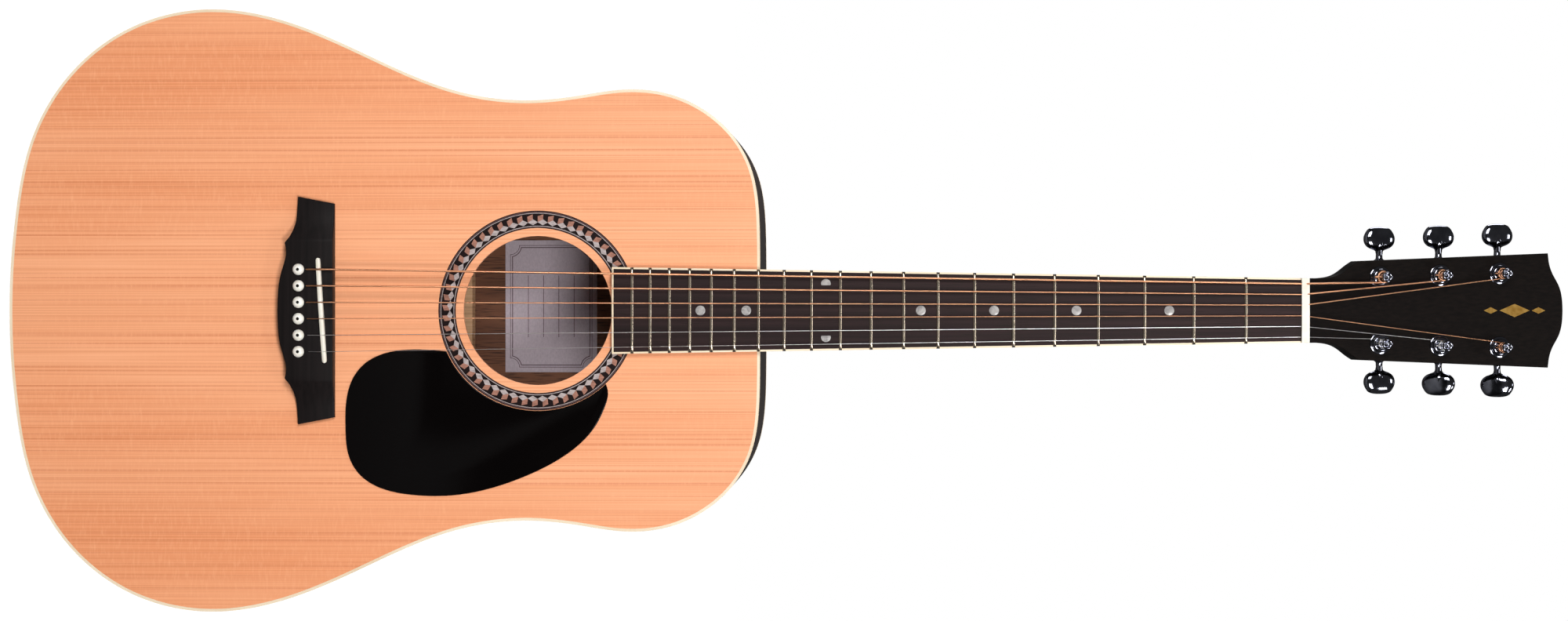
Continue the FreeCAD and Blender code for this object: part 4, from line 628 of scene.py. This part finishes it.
# ------------------------------------------------------------------------------------------ neck
# One piece of reddish hardwood, carved: a flared headstock tilted back, a rounded shaft, and a heel
# that sweeps down to the depth of the box. The end of the heel wears a thin dark cap.
NUT_LENGTH = 5.5
NUT_HALF = 21.5
BOARD_END = -458.8
BOARD_END_HALF = 29.1
SLOPE = math.radians(14)
HEEL_LENGTH, HEEL_CAP_LENGTH, HEEL_HALF = 66.0, 15.0, 13.5
HEEL_DEPTH = 98.2
HEEL_SPARE = 2.5
HEAD_LENGTH, HEAD_HALF, HEAD_THICKNESS = 183.3, 38.8, 13.5
SHOULDER_HALF, SHOULDER_RUN = 33.1, 35.5
CREST_DROP = 10.9
NECK_TONES = [(0.035, 0.012, 0.008), (0.085, 0.028, 0.015), (0.15, 0.056, 0.028)]
neck_wood = finish("neck_hardwood", 0.42, Coat_Weight=0.35, Coat_Roughness=0.3)
open_pored(neck_wood, place_on(neck_wood), NECK_TONES, ((40, 40, 2.5), 3.0, 0.55, 0.5), (0.34, 0.66),
           ((900, 900, 26), 2.0), (0.3, 0.46), (0.15, 0.05))


def board_half(z):
    """Half the fingerboard's width at a height."""
    return NUT_HALF + (BOARD_END_HALF - NUT_HALF) * z / BOARD_END


def head(points):
    """Turns (across, up the headstock's face, out of it) into the frame."""
    points = np.asarray(points, float)
    across, run, out = points[..., 0], points[..., 1], points[..., 2]
    deep = math.sin(SLOPE) * run - math.cos(SLOPE) * out
    high = NUT_LENGTH + math.cos(SLOPE) * run + math.sin(SLOPE) * out
    return np.stack([across, deep, high], axis=-1)


def neck_rings(heights):
    """Half-round sections down the shaft and heel, in closed form.

    Depth grows a little towards the body, then follows 1 - sqrt(1 - f^2.6) down the heel; width is an
    ellipse in the shaft and fills out into a keel with rounded sides in the heel.
    """
    rings = []
    turn = np.linspace(0, math.pi, 33)
    for z in heights:
        shaft = 14.5 + 1.5 * z / JOINT
        fall = np.clip((JOINT + HEEL_LENGTH - z) / (HEEL_LENGTH - HEEL_CAP_LENGTH), 0, 1)
        depth = shaft + (HEEL_DEPTH + HEEL_SPARE - shaft) * (1 - (1 - fall ** 2.6) ** 0.5)
        share = np.clip((JOINT + HEEL_LENGTH - z) / HEEL_LENGTH, 0, 1) ** 1.2
        wide = board_half(z)
        down, aside = np.sin(turn), np.abs(np.cos(turn))
        keel = (HEEL_HALF + (wide - HEEL_HALF) * (1 - down) ** 1.7) * aside ** 0.3
        x = np.sign(np.cos(turn)) * (wide * aside + (keel - wide * aside) * share)
        deep = np.minimum(depth * down, HEEL_DEPTH)
        rings.append(np.stack([x, deep, np.full_like(x, z)], axis=1))
    return np.stack(rings)


def head_half(run):
    """Half the headstock's width up its face: flared shoulders, straight sides, then a crest."""
    rise = np.array([(0, 0), (0.01, 0.25), (0.09, 0.48), (0.33, 0.68), (0.77, 0.88), (1, 1)])
    flare = through(rise, 60) * (SHOULDER_HALF - NUT_HALF, SHOULDER_RUN) + (NUT_HALF, 0)
    crest = [(HEAD_HALF, CREST_DROP), (HEAD_HALF - 7, 9.9), (HEAD_HALF - 14.3, 7.1), (HEAD_HALF - 21.6, 2.9),
             (HEAD_HALF - 29.6, 0.6), (0, 0)]
    top = through(crest, 90) * (1, -1) + (0, HEAD_LENGTH)
    return np.interp(run, np.concatenate([flare[:, 1], top[:, 1]]), np.concatenate([flare[:, 0], top[:, 0]]))


def head_rings(runs, front, behind, rounding):
    """Square sections up the headstock between two planes, their rear corners rounded."""
    lean = np.linspace(0, math.pi / 2, 6)
    rings = []
    for run in runs:
        wide = max(head_half(run), 0.4)
        soft = min(rounding, wide * 0.5)
        right = [(wide - 0.25 * min(1, wide), front), (wide, front - 0.25)]
        right += [(wide - soft * (1 - math.cos(a)), behind + soft * (1 - math.sin(a))) for a in lean]
        section = np.array(right + [(-x, out) for x, out in reversed(right)])
        rings.append(head(np.stack([section[:, 0], np.full(len(section), run), section[:, 1]], axis=1)))
    return np.stack(rings)


heel_heights = JOINT + HEEL_LENGTH - (HEEL_LENGTH - HEEL_CAP_LENGTH) * np.sin(np.linspace(0, math.pi / 2, 30))
shaft_heights = np.linspace(NUT_LENGTH + 4, JOINT + HEEL_LENGTH, 40)[:-1]
neck_heights = np.concatenate([shaft_heights, heel_heights, [JOINT + 7, JOINT + 0.1]])
HEAD_STOP = 0.02
shoulder_runs = np.linspace(0.6, SHOULDER_RUN, 34)
side_runs = np.linspace(40, HEAD_LENGTH - CREST_DROP - 0.6, 8)
crest_runs = HEAD_LENGTH - CREST_DROP * (1 - np.sin(np.linspace(0, math.pi / 2, 26)))
head_runs = np.concatenate([shoulder_runs, side_runs, crest_runs[:-1], [HEAD_LENGTH - HEAD_STOP]])

# ------------------------------------------------------------------------------------- headstock
# The headstock is lacquered black all round and faced with a satin black veneer. A row of gilt
# lozenges is let into the veneer as an ornament.
VENEER = 1.5
veneer_black = mottled("headstock_black", 0.36, (0.003, 0.0022, 0.002), (0.007, 0.0048, 0.004),
                       (700, 700, 60), relief=(0.1, 0.03), Specular_IOR_Level=0.1)
solid("neck_carved", [neck_rings(neck_heights), head_rings(head_runs, 0, -HEAD_THICKNESS, 2.2)],
      [neck_wood, veneer_black], instead=["neck"], inks=[0, 1])
solid("headstock_facing", [head_rings(head_runs, VENEER, 0.0, 0.05)], veneer_black,
      instead=["headstock_veneer"])
gilt = mottled("gilt_inlay", 0.3, (0.55, 0.28, 0.05), (0.85, 0.52, 0.14), (300, 300, 300), Metallic=0.9)
lozenges = []
for run, tall, wide in ((148, 11, 4.5), (130.5, 5, 2.2), (165.5, 5, 2.2)):
    shape = np.array([(wide, run), (0, run + tall), (-wide, run), (0, run - tall)])
    faces = [np.column_stack([shape, np.full(4, out)]) for out in (VENEER - 0.1, VENEER + 0.04)]
    lozenges.append(head(np.stack(faces)))
solid("headstock_ornament", lozenges, gilt)

dark_wood = mottled("dark_cap_wood", 0.3, (0.010, 0.006, 0.005), (0.030, 0.017, 0.012), (300, 60, 20),
                    Coat_Weight=0.6, Coat_Roughness=0.15)
dress("heel_cap", dark_wood)

# ----------------------------------------------------------------------------------- fingerboard
# Dark rosewood, crowned across, with narrow cream strips down both edges and across the end. Twenty
# nickel-silver frets are pressed in, their ends bevelled, and small pearl dots are set between them.
SCALE = 650.0
CROWN = 400.0
BOARD_THICKNESS = 6.2
EDGING = 1.2
FRETS = 20


def fret_z(number):
    """The height of a fret: each shortens the string by the twelfth root of two."""
    return -SCALE * (1 - 2 ** (-np.asarray(number, float) / 12))


def crown_drop(x):
    """How far the crowned face falls away from its middle."""
    return CROWN - np.sqrt(CROWN ** 2 - np.asarray(x) ** 2)


ROSEWOOD_TONES = [(0.014, 0.008, 0.007), (0.012, 0.006, 0.006), (0.030, 0.014, 0.014)]
rosewood = finish("rosewood_board", 0.5, Specular_IOR_Level=0.12)
open_pored(rosewood, place_on(rosewood), ROSEWOOD_TONES, ((150, 60, 3.2), 4.0, 0.6, 0.5), (0.32, 0.70),
           ((1500, 400, 55), 2.0, 0.5), (0.32, 0.46), (0.3, 0.06))


def board_rings(heights, inset, strip=0):
    """Sections of the board, flat below and crowned above, or of the strip on its side 1 or -1."""
    rings = []
    for z in heights:
        reach = board_half(z) - inset
        x = np.linspace(-reach, reach, 25)
        if strip:
            x = strip * np.linspace(reach, reach + EDGING, 4)
        top = np.stack([x, crown_drop(x) - BOARD_THICKNESS, np.full_like(x, z)], axis=1)
        under = top[[-1, 0]] * (1, 0, 1)
        rings.append(np.vstack([top, under]))
    return np.stack(rings)


span_z = np.linspace(0, BOARD_END + EDGING, 24)
solid("board_rosewood", [board_rings(span_z, EDGING)], rosewood, instead=["fingerboard"])
edge_z = np.linspace(0, BOARD_END, 24)
end_z = [BOARD_END + EDGING, BOARD_END]
edging_parts = [board_rings(edge_z, EDGING, 1), board_rings(edge_z, EDGING, -1), board_rings(end_z, EDGING)]
solid("board_edging", edging_parts, cream, instead=["fingerboard_binding"])

nickel = mottled("nickel_silver", 0.18, (0.50, 0.42, 0.32), (0.58, 0.50, 0.40), (60, 600, 600), Metallic=1.0)
fret_parts = []
bead = np.linspace(math.pi, 0, 11)
for number in range(1, FRETS + 1):
    z = fret_z(number)
    reach = board_half(z) - 0.05
    x = np.concatenate([[-reach], np.linspace(1.2 - reach, reach - 1.2, 15), [reach]])
    swell = np.concatenate([[0.25], np.ones(15), [0.25]])
    base = crown_drop(x) - BOARD_THICKNESS + 0.1
    section_y = base[:, None] - 1.1 * np.sin(bead) * swell[:, None]
    section_z = z + 1.15 * np.cos(bead) * np.ones_like(x)[:, None]
    fret_parts.append(np.stack([np.broadcast_to(x[:, None], section_y.shape), section_y, section_z], axis=-1))
solid("fret_wires", fret_parts, nickel, instead=["frets"])

pearl = mottled("pearl_dot", 0.25, (0.22, 0.21, 0.21), (0.46, 0.44, 0.42), (260, 260, 200), 3.0, 0.6, 1.0,
                Coat_Weight=0.6, Coat_Roughness=0.1)
dots = []
for number in (3, 5, 7, 9, 12, 15, 17):
    z = float(fret_z([number, number - 1]).mean())
    for x in (-17.8, 17.8) if number == 12 else (0,):
        surface = (x, float(crown_drop(x)) - BOARD_THICKNESS, z)
        dots.append(turned([(3.25, -1.4), (3.25, 0.0), (3.1, 0.04)], surface, outward, 32))
solid("pearl_dots", dots, pearl, instead=["position_dots"])

# ---------------------------------------------------------------------------------------- bridge
# Ebonised hardwood: square towards the hole, a cusped and bellied rear edge, a high middle and wings
# scooped down thin. Its edges are eased. A white saddle stands slanted in its slot.
PINS_Z = -669.6
SADDLE_Z = -654.1
BRIDGE_HEIGHT = 8.5
WING_HEIGHT = 3.8
FRONT_LINE = [(0, 23.1), (72, 23.1), (76.8, -1.6)]
BELLY_LINE = [(0, -14.5), (11, -14.1), (23, -12.6), (34, -9.4), (40.5, -8.6), (45.5, -9.6)]
HOLLOW_LINE = [(45.5, -9.6), (49.8, -6.4), (54.5, -4.2), (59.5, -2.8), (64.4, -2.3), (76.8, -1.6)]
SCOOP_LINE = [(47, BRIDGE_HEIGHT), (54, BRIDGE_HEIGHT * 0.72), (63, WING_HEIGHT), (80, WING_HEIGHT * 0.92)]
ebonised = mottled("ebonised_bridge", 0.45, (0.004, 0.003, 0.003), (0.010, 0.007, 0.007),
                   (9, 300, 420), relief=(0.15, 0.05), Specular_IOR_Level=0.12)


def bridge_rings():
    """Sections across the strings: each an upright box between the front and rear lines, edges eased."""
    reach = np.concatenate([np.linspace(0, 44, 20), np.linspace(45.5, 71.5, 30), np.linspace(72, 76.6, 6)])
    across = np.concatenate([-reach[::-1], reach[1:]])
    away = np.abs(across)
    rear_line = np.vstack([through(BELLY_LINE, 60), HOLLOW_LINE[1:]])
    rear = PINS_Z + np.interp(away, *rear_line.T)
    front = PINS_Z + np.interp(away, *np.transpose(FRONT_LINE))
    scoop = through(SCOOP_LINE, 60)
    high = np.where(away < SCOOP_LINE[0][0], BRIDGE_HEIGHT, np.interp(away, *scoop.T))
    ease = np.minimum(0.8, (front - rear) * 0.3)
    lean = np.linspace(0, math.pi / 2, 5)
    columns = [(front, 0 * high)]
    columns += [(front - ease * (1 - np.cos(a)), high - ease * (1 - np.sin(a))) for a in lean]
    columns += [(rear + ease * (1 - np.cos(a)), high - ease * (1 - np.sin(a))) for a in lean[::-1]]
    columns += [(rear, 0 * high)]
    return np.stack([np.stack([across, -height, z], axis=1) for z, height in columns], axis=1)


solid("bridge_carved", [bridge_rings()], ebonised, instead=["bridge"])

SADDLE_HALF = (35.4, 1.55)
SADDLE_TOP = 12.0
SADDLE_FOOT = 3.6
SLANT = math.radians(3.7)
bone = mottled("bone_white", 0.32, (0.78, 0.70, 0.58), (0.90, 0.85, 0.76), (80, 80, 30),
               Coat_Weight=0.3, Coat_Roughness=0.15, Subsurface_Weight=0.08)
saddle_x = SADDLE_HALF[0] * np.sin(np.linspace(-math.pi / 2, math.pi / 2, 41))
near_end = np.clip((SADDLE_HALF[0] - np.abs(saddle_x)) / SADDLE_HALF[1], 0, 1)
saddle_wide = np.maximum(SADDLE_HALF[1] * np.sqrt(1 - (1 - near_end) ** 2), 0.05)
saddle_high = SADDLE_TOP - crown_drop(saddle_x)
arch = np.linspace(0, math.pi, 9)
saddle_section = [(1.0, SADDLE_FOOT - SADDLE_TOP), *((math.cos(a), 0.9 * (math.sin(a) - 1)) for a in arch),
                  (-1.0, SADDLE_FOOT - SADDLE_TOP)]
saddle_rings = []
for share, lift in saddle_section:
    z = saddle_wide * share
    x_turned = saddle_x * math.cos(SLANT) - z * math.sin(SLANT)
    z_turned = SADDLE_Z + saddle_x * math.sin(SLANT) + z * math.cos(SLANT)
    saddle_rings.append(np.stack([x_turned, -(saddle_high + lift), z_turned], axis=1))
solid("saddle_bone", [np.stack(saddle_rings, axis=1)], bone, instead=["saddle"])

# ----------------------------------------------------------------------------------- bridge pins
# Six turned plastic pins, white with a black dot let into the head, are pushed into the bridge's holes
# and hold the strings' ends there.
PIN_STEP = 11.05
PIN_PROFILE = [
    (2.2, -21.5), (2.6, -0.1), (3.3, -0.05), (3.75, 0.15), (3.9, 0.55), (3.85, 1.1), (3.5, 1.8), (2.9, 2.45),
    (2.2, 2.9), (1.05, 3.17),
]
DOT_PROFILE = [(1.05, 2.0), (1.05, 3.17), (0.8, 3.2)]
pin_white = mottled("pin_white", 0.25, (0.82, 0.76, 0.66), (0.92, 0.88, 0.80), (120, 120, 120), 2.0,
                    Coat_Weight=0.5, Coat_Roughness=0.1, Subsurface_Weight=0.05)
dot_black = mottled("pin_dot_black", 0.5, (0.004, 0.004, 0.004), (0.012, 0.011, 0.010),
                    (400, 400, 400), 2.0, spread=(0, 1), Specular_IOR_Level=0.1)
pin_parts = []
for index in range(6):
    foot = ((index - 2.5) * PIN_STEP, -BRIDGE_HEIGHT, PINS_Z)
    pin_parts += [turned(PIN_PROFILE, foot, outward, 36), turned(DOT_PROFILE, foot, outward, 24)]
solid("pins_white", pin_parts, [pin_white, dot_black], instead=["bridge_pins"],
      inks=[0, 1] * 6)

# ------------------------------------------------------------------------------------------- nut
# A block of bone at the head of the fingerboard, sloped down towards the headstock. The strings lie
# sunk in its top, as they do in slots filed to fit them.
NUT_HEIGHT = 9.0
NUT_PROFILE = [
    (0.02, 0.0), (0.02, 1.0), (0.35, 1.0), (1.65, 0.98), (3.2, 0.93), (5.0, 0.82), (5.45, 0.78), (5.48, 0.0),
]
nut_x = np.linspace(0.05 - NUT_HALF, NUT_HALF - 0.05, 41)
nut_top = NUT_HEIGHT - crown_drop(nut_x)
nut_rings = [np.stack([nut_x, -nut_top * share, np.full_like(nut_x, z)], axis=1) for z, share in NUT_PROFILE]
solid("nut_bone", [np.stack(nut_rings, axis=1)], bone, instead=["nut"], crease=25)

# --------------------------------------------------------------------------------------- strings
# Four wound in bronze over steel and two plain steel, from a ball end under the bridge, over saddle
# and nut, to a few turns round the tuner's post. The turns and the cut end go round with the post.
GAUGES = [1.35, 1.07, 0.81, 0.61, 0.41, 0.305]
WOUND = 4
NAMES = ["low_e", "a", "d", "g", "b", "high_e"]
TUNERS = [(-22.2 - 1.35 * order, 50.4 + 43.2 * order, -1) for order in range(3)]
TUNERS += [(-x, run, 1) for x, run, _ in reversed(TUNERS)]
POST_WAIST = 2.8
COIL_GAP = 0.1
COIL_LOW = 5.4
POST_HOLE = 9.6
NUT_SPREAD = 35.2
SLOT_RISE = 1.45                    # bottom of the nut's slots, above the board
STRING_Z = PINS_Z + 2.9             # the strings come up just ahead of the pins
BALL_DEPTH = 7.3
BALL_PROFILE = [(1.9, -1.6), (1.95, -1.4), (1.95, 1.4), (1.9, 1.6)]
bronze = finish("bronze_winding", 0.28, Metallic=1.0)
# painted shade: the bronze colour goes dark in the grooves between the winding's turns and bright on their
# crowns; the bump gives the same turns their relief
turns_and_groove_shade = step(bronze, "TexWave", {"Vector": place_on(bronze), "Scale": 1100.0}, bands_direction="Z")
feed(bronze, "Base Color", blend_of(bronze, turns_and_groove_shade.outputs["Fac"], (0.48, 0.20, 0.10), (0.88, 0.47, 0.27)))
roughen(bronze, turns_and_groove_shade.outputs["Fac"], 0.5, 0.05)
steel = mottled("plain_steel", 0.3, (0.70, 0.68, 0.67), (0.90, 0.88, 0.87), (300, 300, 40), 2.0,
                Metallic=1.0)


def eased(points, radius):
    """A path with its corners rounded: each curve starts and ends a radius away, or 0.45 of a short run."""
    points = np.asarray(points, float)
    path = [points[:1]]
    share = np.linspace(0, 1, 7)[:, None]
    for before, corner, after in zip(points, points[1:], points[2:]):
        back, ahead = before - corner, after - corner
        start = corner + back * min(radius / np.linalg.norm(back), 0.45)
        end = corner + ahead * min(radius / np.linalg.norm(ahead), 0.45)
        path.append((1 - share) ** 2 * start + 2 * share * (1 - share) * corner + share ** 2 * end)
    return np.vstack(path + [points[-1:]])


def wire(path, radius, facets=10):
    """Circles along a path, each square to the path's direction where it stands."""
    path = np.asarray(path, float)
    ahead = np.gradient(path, axis=0)
    ahead /= np.linalg.norm(ahead, axis=1)[:, None]
    aside = np.zeros_like(ahead)
    aside[0] = np.cross(ahead[0], (0.13, 0.31, 0.94) if abs(ahead[0][2]) < 0.8 else (1, 0.1, 0))
    for index in range(1, len(path)):
        aside[index - 1] /= np.linalg.norm(aside[index - 1])
        aside[index] = aside[index - 1] - ahead[index] * (aside[index - 1] @ ahead[index])
    aside[-1] /= np.linalg.norm(aside[-1])
    up = np.cross(ahead, aside)
    turn = np.linspace(0, 2 * np.pi, facets, endpoint=False)[None, :, None]
    return path[:, None] + radius * (np.cos(turn) * aside[:, None] + np.sin(turn) * up[:, None])


for index, (gauge, name, (post_x, post_run, post_side)) in enumerate(zip(GAUGES, NAMES, TUNERS)):
    radius = gauge / 2
    pin_x = (index - 2.5) * PIN_STEP
    nut_bend = np.array([(index - 2.5) * NUT_SPREAD / 5, 0, NUT_LENGTH / 4])
    nut_bend[1] = crown_drop(nut_bend[0]) - (BOARD_THICKNESS + SLOT_RISE) - radius
    crest = (pin_x, crown_drop(pin_x) - SADDLE_TOP - radius, SADDLE_Z + pin_x * math.tan(SLANT))
    hole_up = (pin_x, 6.0, STRING_Z), (pin_x, 1.2 - BRIDGE_HEIGHT, STRING_Z)
    coil = POST_WAIST + COIL_GAP + radius
    start_run = (nut_bend[2] - NUT_LENGTH) * math.cos(SLOPE) + nut_bend[1] * math.sin(SLOPE)
    away = np.array([post_x - nut_bend[0], post_run - start_run])
    gap = np.linalg.norm(away)
    lean = math.asin(coil / gap)
    bearing = math.atan2(away[1], away[0]) + post_side * lean
    ray = np.array([math.cos(bearing), math.sin(bearing)])
    touch = np.array([nut_bend[0], start_run]) + ray * gap * math.cos(lean)
    touch_point = head((touch[0], touch[1], COIL_LOW + radius))
    run_path = eased([*hole_up, crest, nut_bend, touch_point], 4.0)
    turns = max(2, round(2.4 / gauge))
    arm = touch - (post_x, post_run)
    sense = np.sign(arm[0] * ray[1] - arm[1] * ray[0])
    start_turn = math.atan2(arm[1], arm[0])
    sweep = ((math.pi / 2 - start_turn) * sense) % (2 * math.pi) + 2 * math.pi * (turns - 1)
    angle = start_turn + sense * np.linspace(0, sweep, 26 * turns)
    rise = COIL_LOW + radius + gauge * np.linspace(0, sweep / (2 * math.pi), len(angle))
    helix = np.stack([post_x + coil * np.cos(angle), post_run + coil * np.sin(angle), rise], axis=1)
    lead = [helix[-1], (post_x - sense * 1.6, post_run + coil + 0.2, (rise[-1] + POST_HOLE) / 2),
            (post_x, post_run + coil, POST_HOLE), (post_x, post_run - coil - 3.6, POST_HOLE)]
    coil_path = head(np.vstack([helix[:-1], eased(lead, 1.2)]))
    barrel = turned(BALL_PROFILE, (pin_x, BALL_DEPTH, STRING_Z + 1.3), (1, 0, 0), 20)
    metal, slot = (bronze, "bronze_string") if index < WOUND else (steel, "plain_string")
    node = f"string_{index + 1}"
    solid(f"string_run_{index + 1}", [wire(run_path, radius), barrel], metal, instead=[node])
    solid(f"string_turns_{index + 1}", [wire(coil_path, radius)], metal, f"post_{name}", [node])

# ---------------------------------------------------------------------------------------- tuners
# Six sealed tuners, die-cast and chromed: housing and screw behind the headstock, a threaded bushing
# over a washer in front, a hollow-topped post through both, and a kidney-shaped button on the worm.
BREATH = ((150, 150, 150), 4.0, 0.6)
chrome = mottled("chrome", 0.07, (0.17, 0.175, 0.21), (0.27, 0.275, 0.32), *BREATH, Metallic=1.0)
wander_gloss(chrome, cloud(chrome, place_on(chrome), *BREATH), 0.04, 0.13)
WORM_AHEAD = 8.8
GEAR_OUT = -19.25
up_post = (0, -math.cos(SLOPE), math.sin(SLOPE))
POST_PROFILE = [
    (2.9, -25.2), (3.0, -22.0), (5.5, -21.5), (5.5, -17.0), (3.0, -16.9), (3.0, 5.0), (2.8, 5.3),
    (POST_WAIST, 10.9), (3.1, 11.7), (3.4, 12.3), (3.42, 13.9), (3.3, 14.3), (3.05, 14.48), (2.4, 14.45),
    (1.9, 14.0), (1.5, 13.4), (0.7, 13.1), (0.05, 13.05),
]
COLLAR_PROFILE = [
    (3.08, -13.0), (4.9, -13.0), (4.9, 2.4), (5.7, 2.45), (5.75, 3.6), (5.55, 4.2), (5.0, 4.7), (4.2, 4.8),
    (3.5, 4.7), (3.08, 4.4),
]
WASHER_PROFILE = [(4.9, 1.5), (7.25, 1.5), (7.3, 1.75), (7.15, 2.1), (6.7, 2.33), (4.9, 2.4)]
WORM_PROFILE = [
    (2.9, -5.0), (2.9, 5.0), (2.0, 5.05), (2.0, 8.8), (3.4, 8.85), (3.7, 9.2), (3.7, 11.6), (3.4, 12.0),
    (2.6, 12.5), (2.3, 13.2), (2.2, 15.5), (2.2, 24.0),
]
BUTTON_HALF = [                     # one half of its outline: (half width, distance out from the post)
    (2.3, 15.8), (2.7, 17.9), (4.4, 18.9), (8.4, 20.7), (10.4, 23.0), (11.1, 25.4), (10.9, 28.0), (9.4, 31.0),
    (8.0, 32.7), (5.9, 33.7), (3.0, 34.2), (0, 34.3),
]
BUTTON_TURNS = [0, 0, 0, 27, 33, 0]
BUTTON_THICK = 3.7
half_loop = through(BUTTON_HALF, 60)
button_loop = np.vstack([half_loop, half_loop[-2::-1] * (-1, 1)])[:-1]
button_middle = np.array([0, 26.0])


def button_rings(centre, side, turn):
    """A pillow cut to the button's outline.

    At a thickness share t the outline shrinks towards its middle by (1 - |t|^2.6)^0.42, so the faces are
    nearly flat and the rim is round; the pillow is then turned about the worm's axis.
    """
    rings = []
    for share in np.sin(np.linspace(-math.pi / 2, math.pi / 2, 17)):
        shrink = max((1 - abs(share) ** 2.6), 0) ** 0.42
        plan = button_middle + (button_loop - button_middle) * max(shrink, 0.03)
        thick = share * BUTTON_THICK * np.clip((plan[:, 1] - 12) / 9, 0.62, 1)
        along = plan[:, 0] * math.cos(turn) - thick * math.sin(turn)
        out = plan[:, 0] * math.sin(turn) + thick * math.cos(turn)
        local = np.stack([side * plan[:, 1], along, side * out], axis=1)
        rings.append(head(local + centre))
    return np.stack(rings)


collars, washers = [], []
for index, (name, (post_x, post_run, post_side)) in enumerate(zip(NAMES, TUNERS)):
    seat = head((post_x, post_run, 0))
    number = index + 1
    solid(f"post_chromed_{number}", [turned(POST_PROFILE, seat, up_post, 40)], chrome, f"post_{name}",
          [f"tuner_post_{number}"], crease=50)
    collars.append((turned(COLLAR_PROFILE, seat, up_post, 48), True))
    washers.append((turned(WASHER_PROFILE, seat, up_post, 48), True))
    worm_centre = np.array((post_x, post_run + WORM_AHEAD, GEAR_OUT))
    worm = turned(WORM_PROFILE, head(worm_centre), (post_side, 0, 0), 32)
    solid(f"worm_chromed_{number}", [worm], chrome, f"key_{name}", [f"tuner_worm_{number}"])
    button = button_rings(worm_centre, post_side, math.radians(BUTTON_TURNS[index]))
    solid(f"button_chromed_{number}", [button], chrome, f"key_{name}",
          [f"tuner_button_{number}"], crease=60)
solid("bushings_chromed", collars, chrome, instead=["tuner_bushings"], crease=50)
solid("washers_chromed", washers, chrome, instead=["tuner_washers"])
dress("tuner_housings", chrome)
dress("tuner_screws", chrome)

# ------------------------------------------------------------------------- truss rod and end pin
# A steel rod lies in the neck, with its adjusting nut inside the box. A turned black plastic button for
# a strap is pushed into the tail block.
END_PIN_DEPTH = 58
END_PIN_PROFILE = [
    (4.3, -23), (4.4, 0), (6.6, 0.02), (7.0, 0.4), (6.9, 1.1), (5.0, 2.4), (4.1, 3.6), (4.0, 5.5), (4.1, 7.4),
    (5.2, 9.0), (6.7, 10.2), (7.0, 11.0), (6.7, 11.9), (5.2, 12.6), (2.5, 12.95), (0.05, 13),
]
rod_steel = mottled("rod_steel", 0.35, (0.28, 0.27, 0.26), (0.46, 0.44, 0.42), (200, 200, 12), Metallic=1.0)
dress("truss_rod", rod_steel)
dress("truss_rod_nut", rod_steel)
strap_black = mottled("strap_button_plastic", 0.22, (0.012, 0.010, 0.010), (0.022, 0.018, 0.016),
                      (90, 90, 90), 2.0, spread=(0, 1), Coat_Weight=0.4, Coat_Roughness=0.1)
strap_pin = turned(END_PIN_PROFILE, (0, END_PIN_DEPTH, TAIL), (0, 0, -1), 48)
solid("strap_pin", [strap_pin], strap_black, instead=["end_pin"])
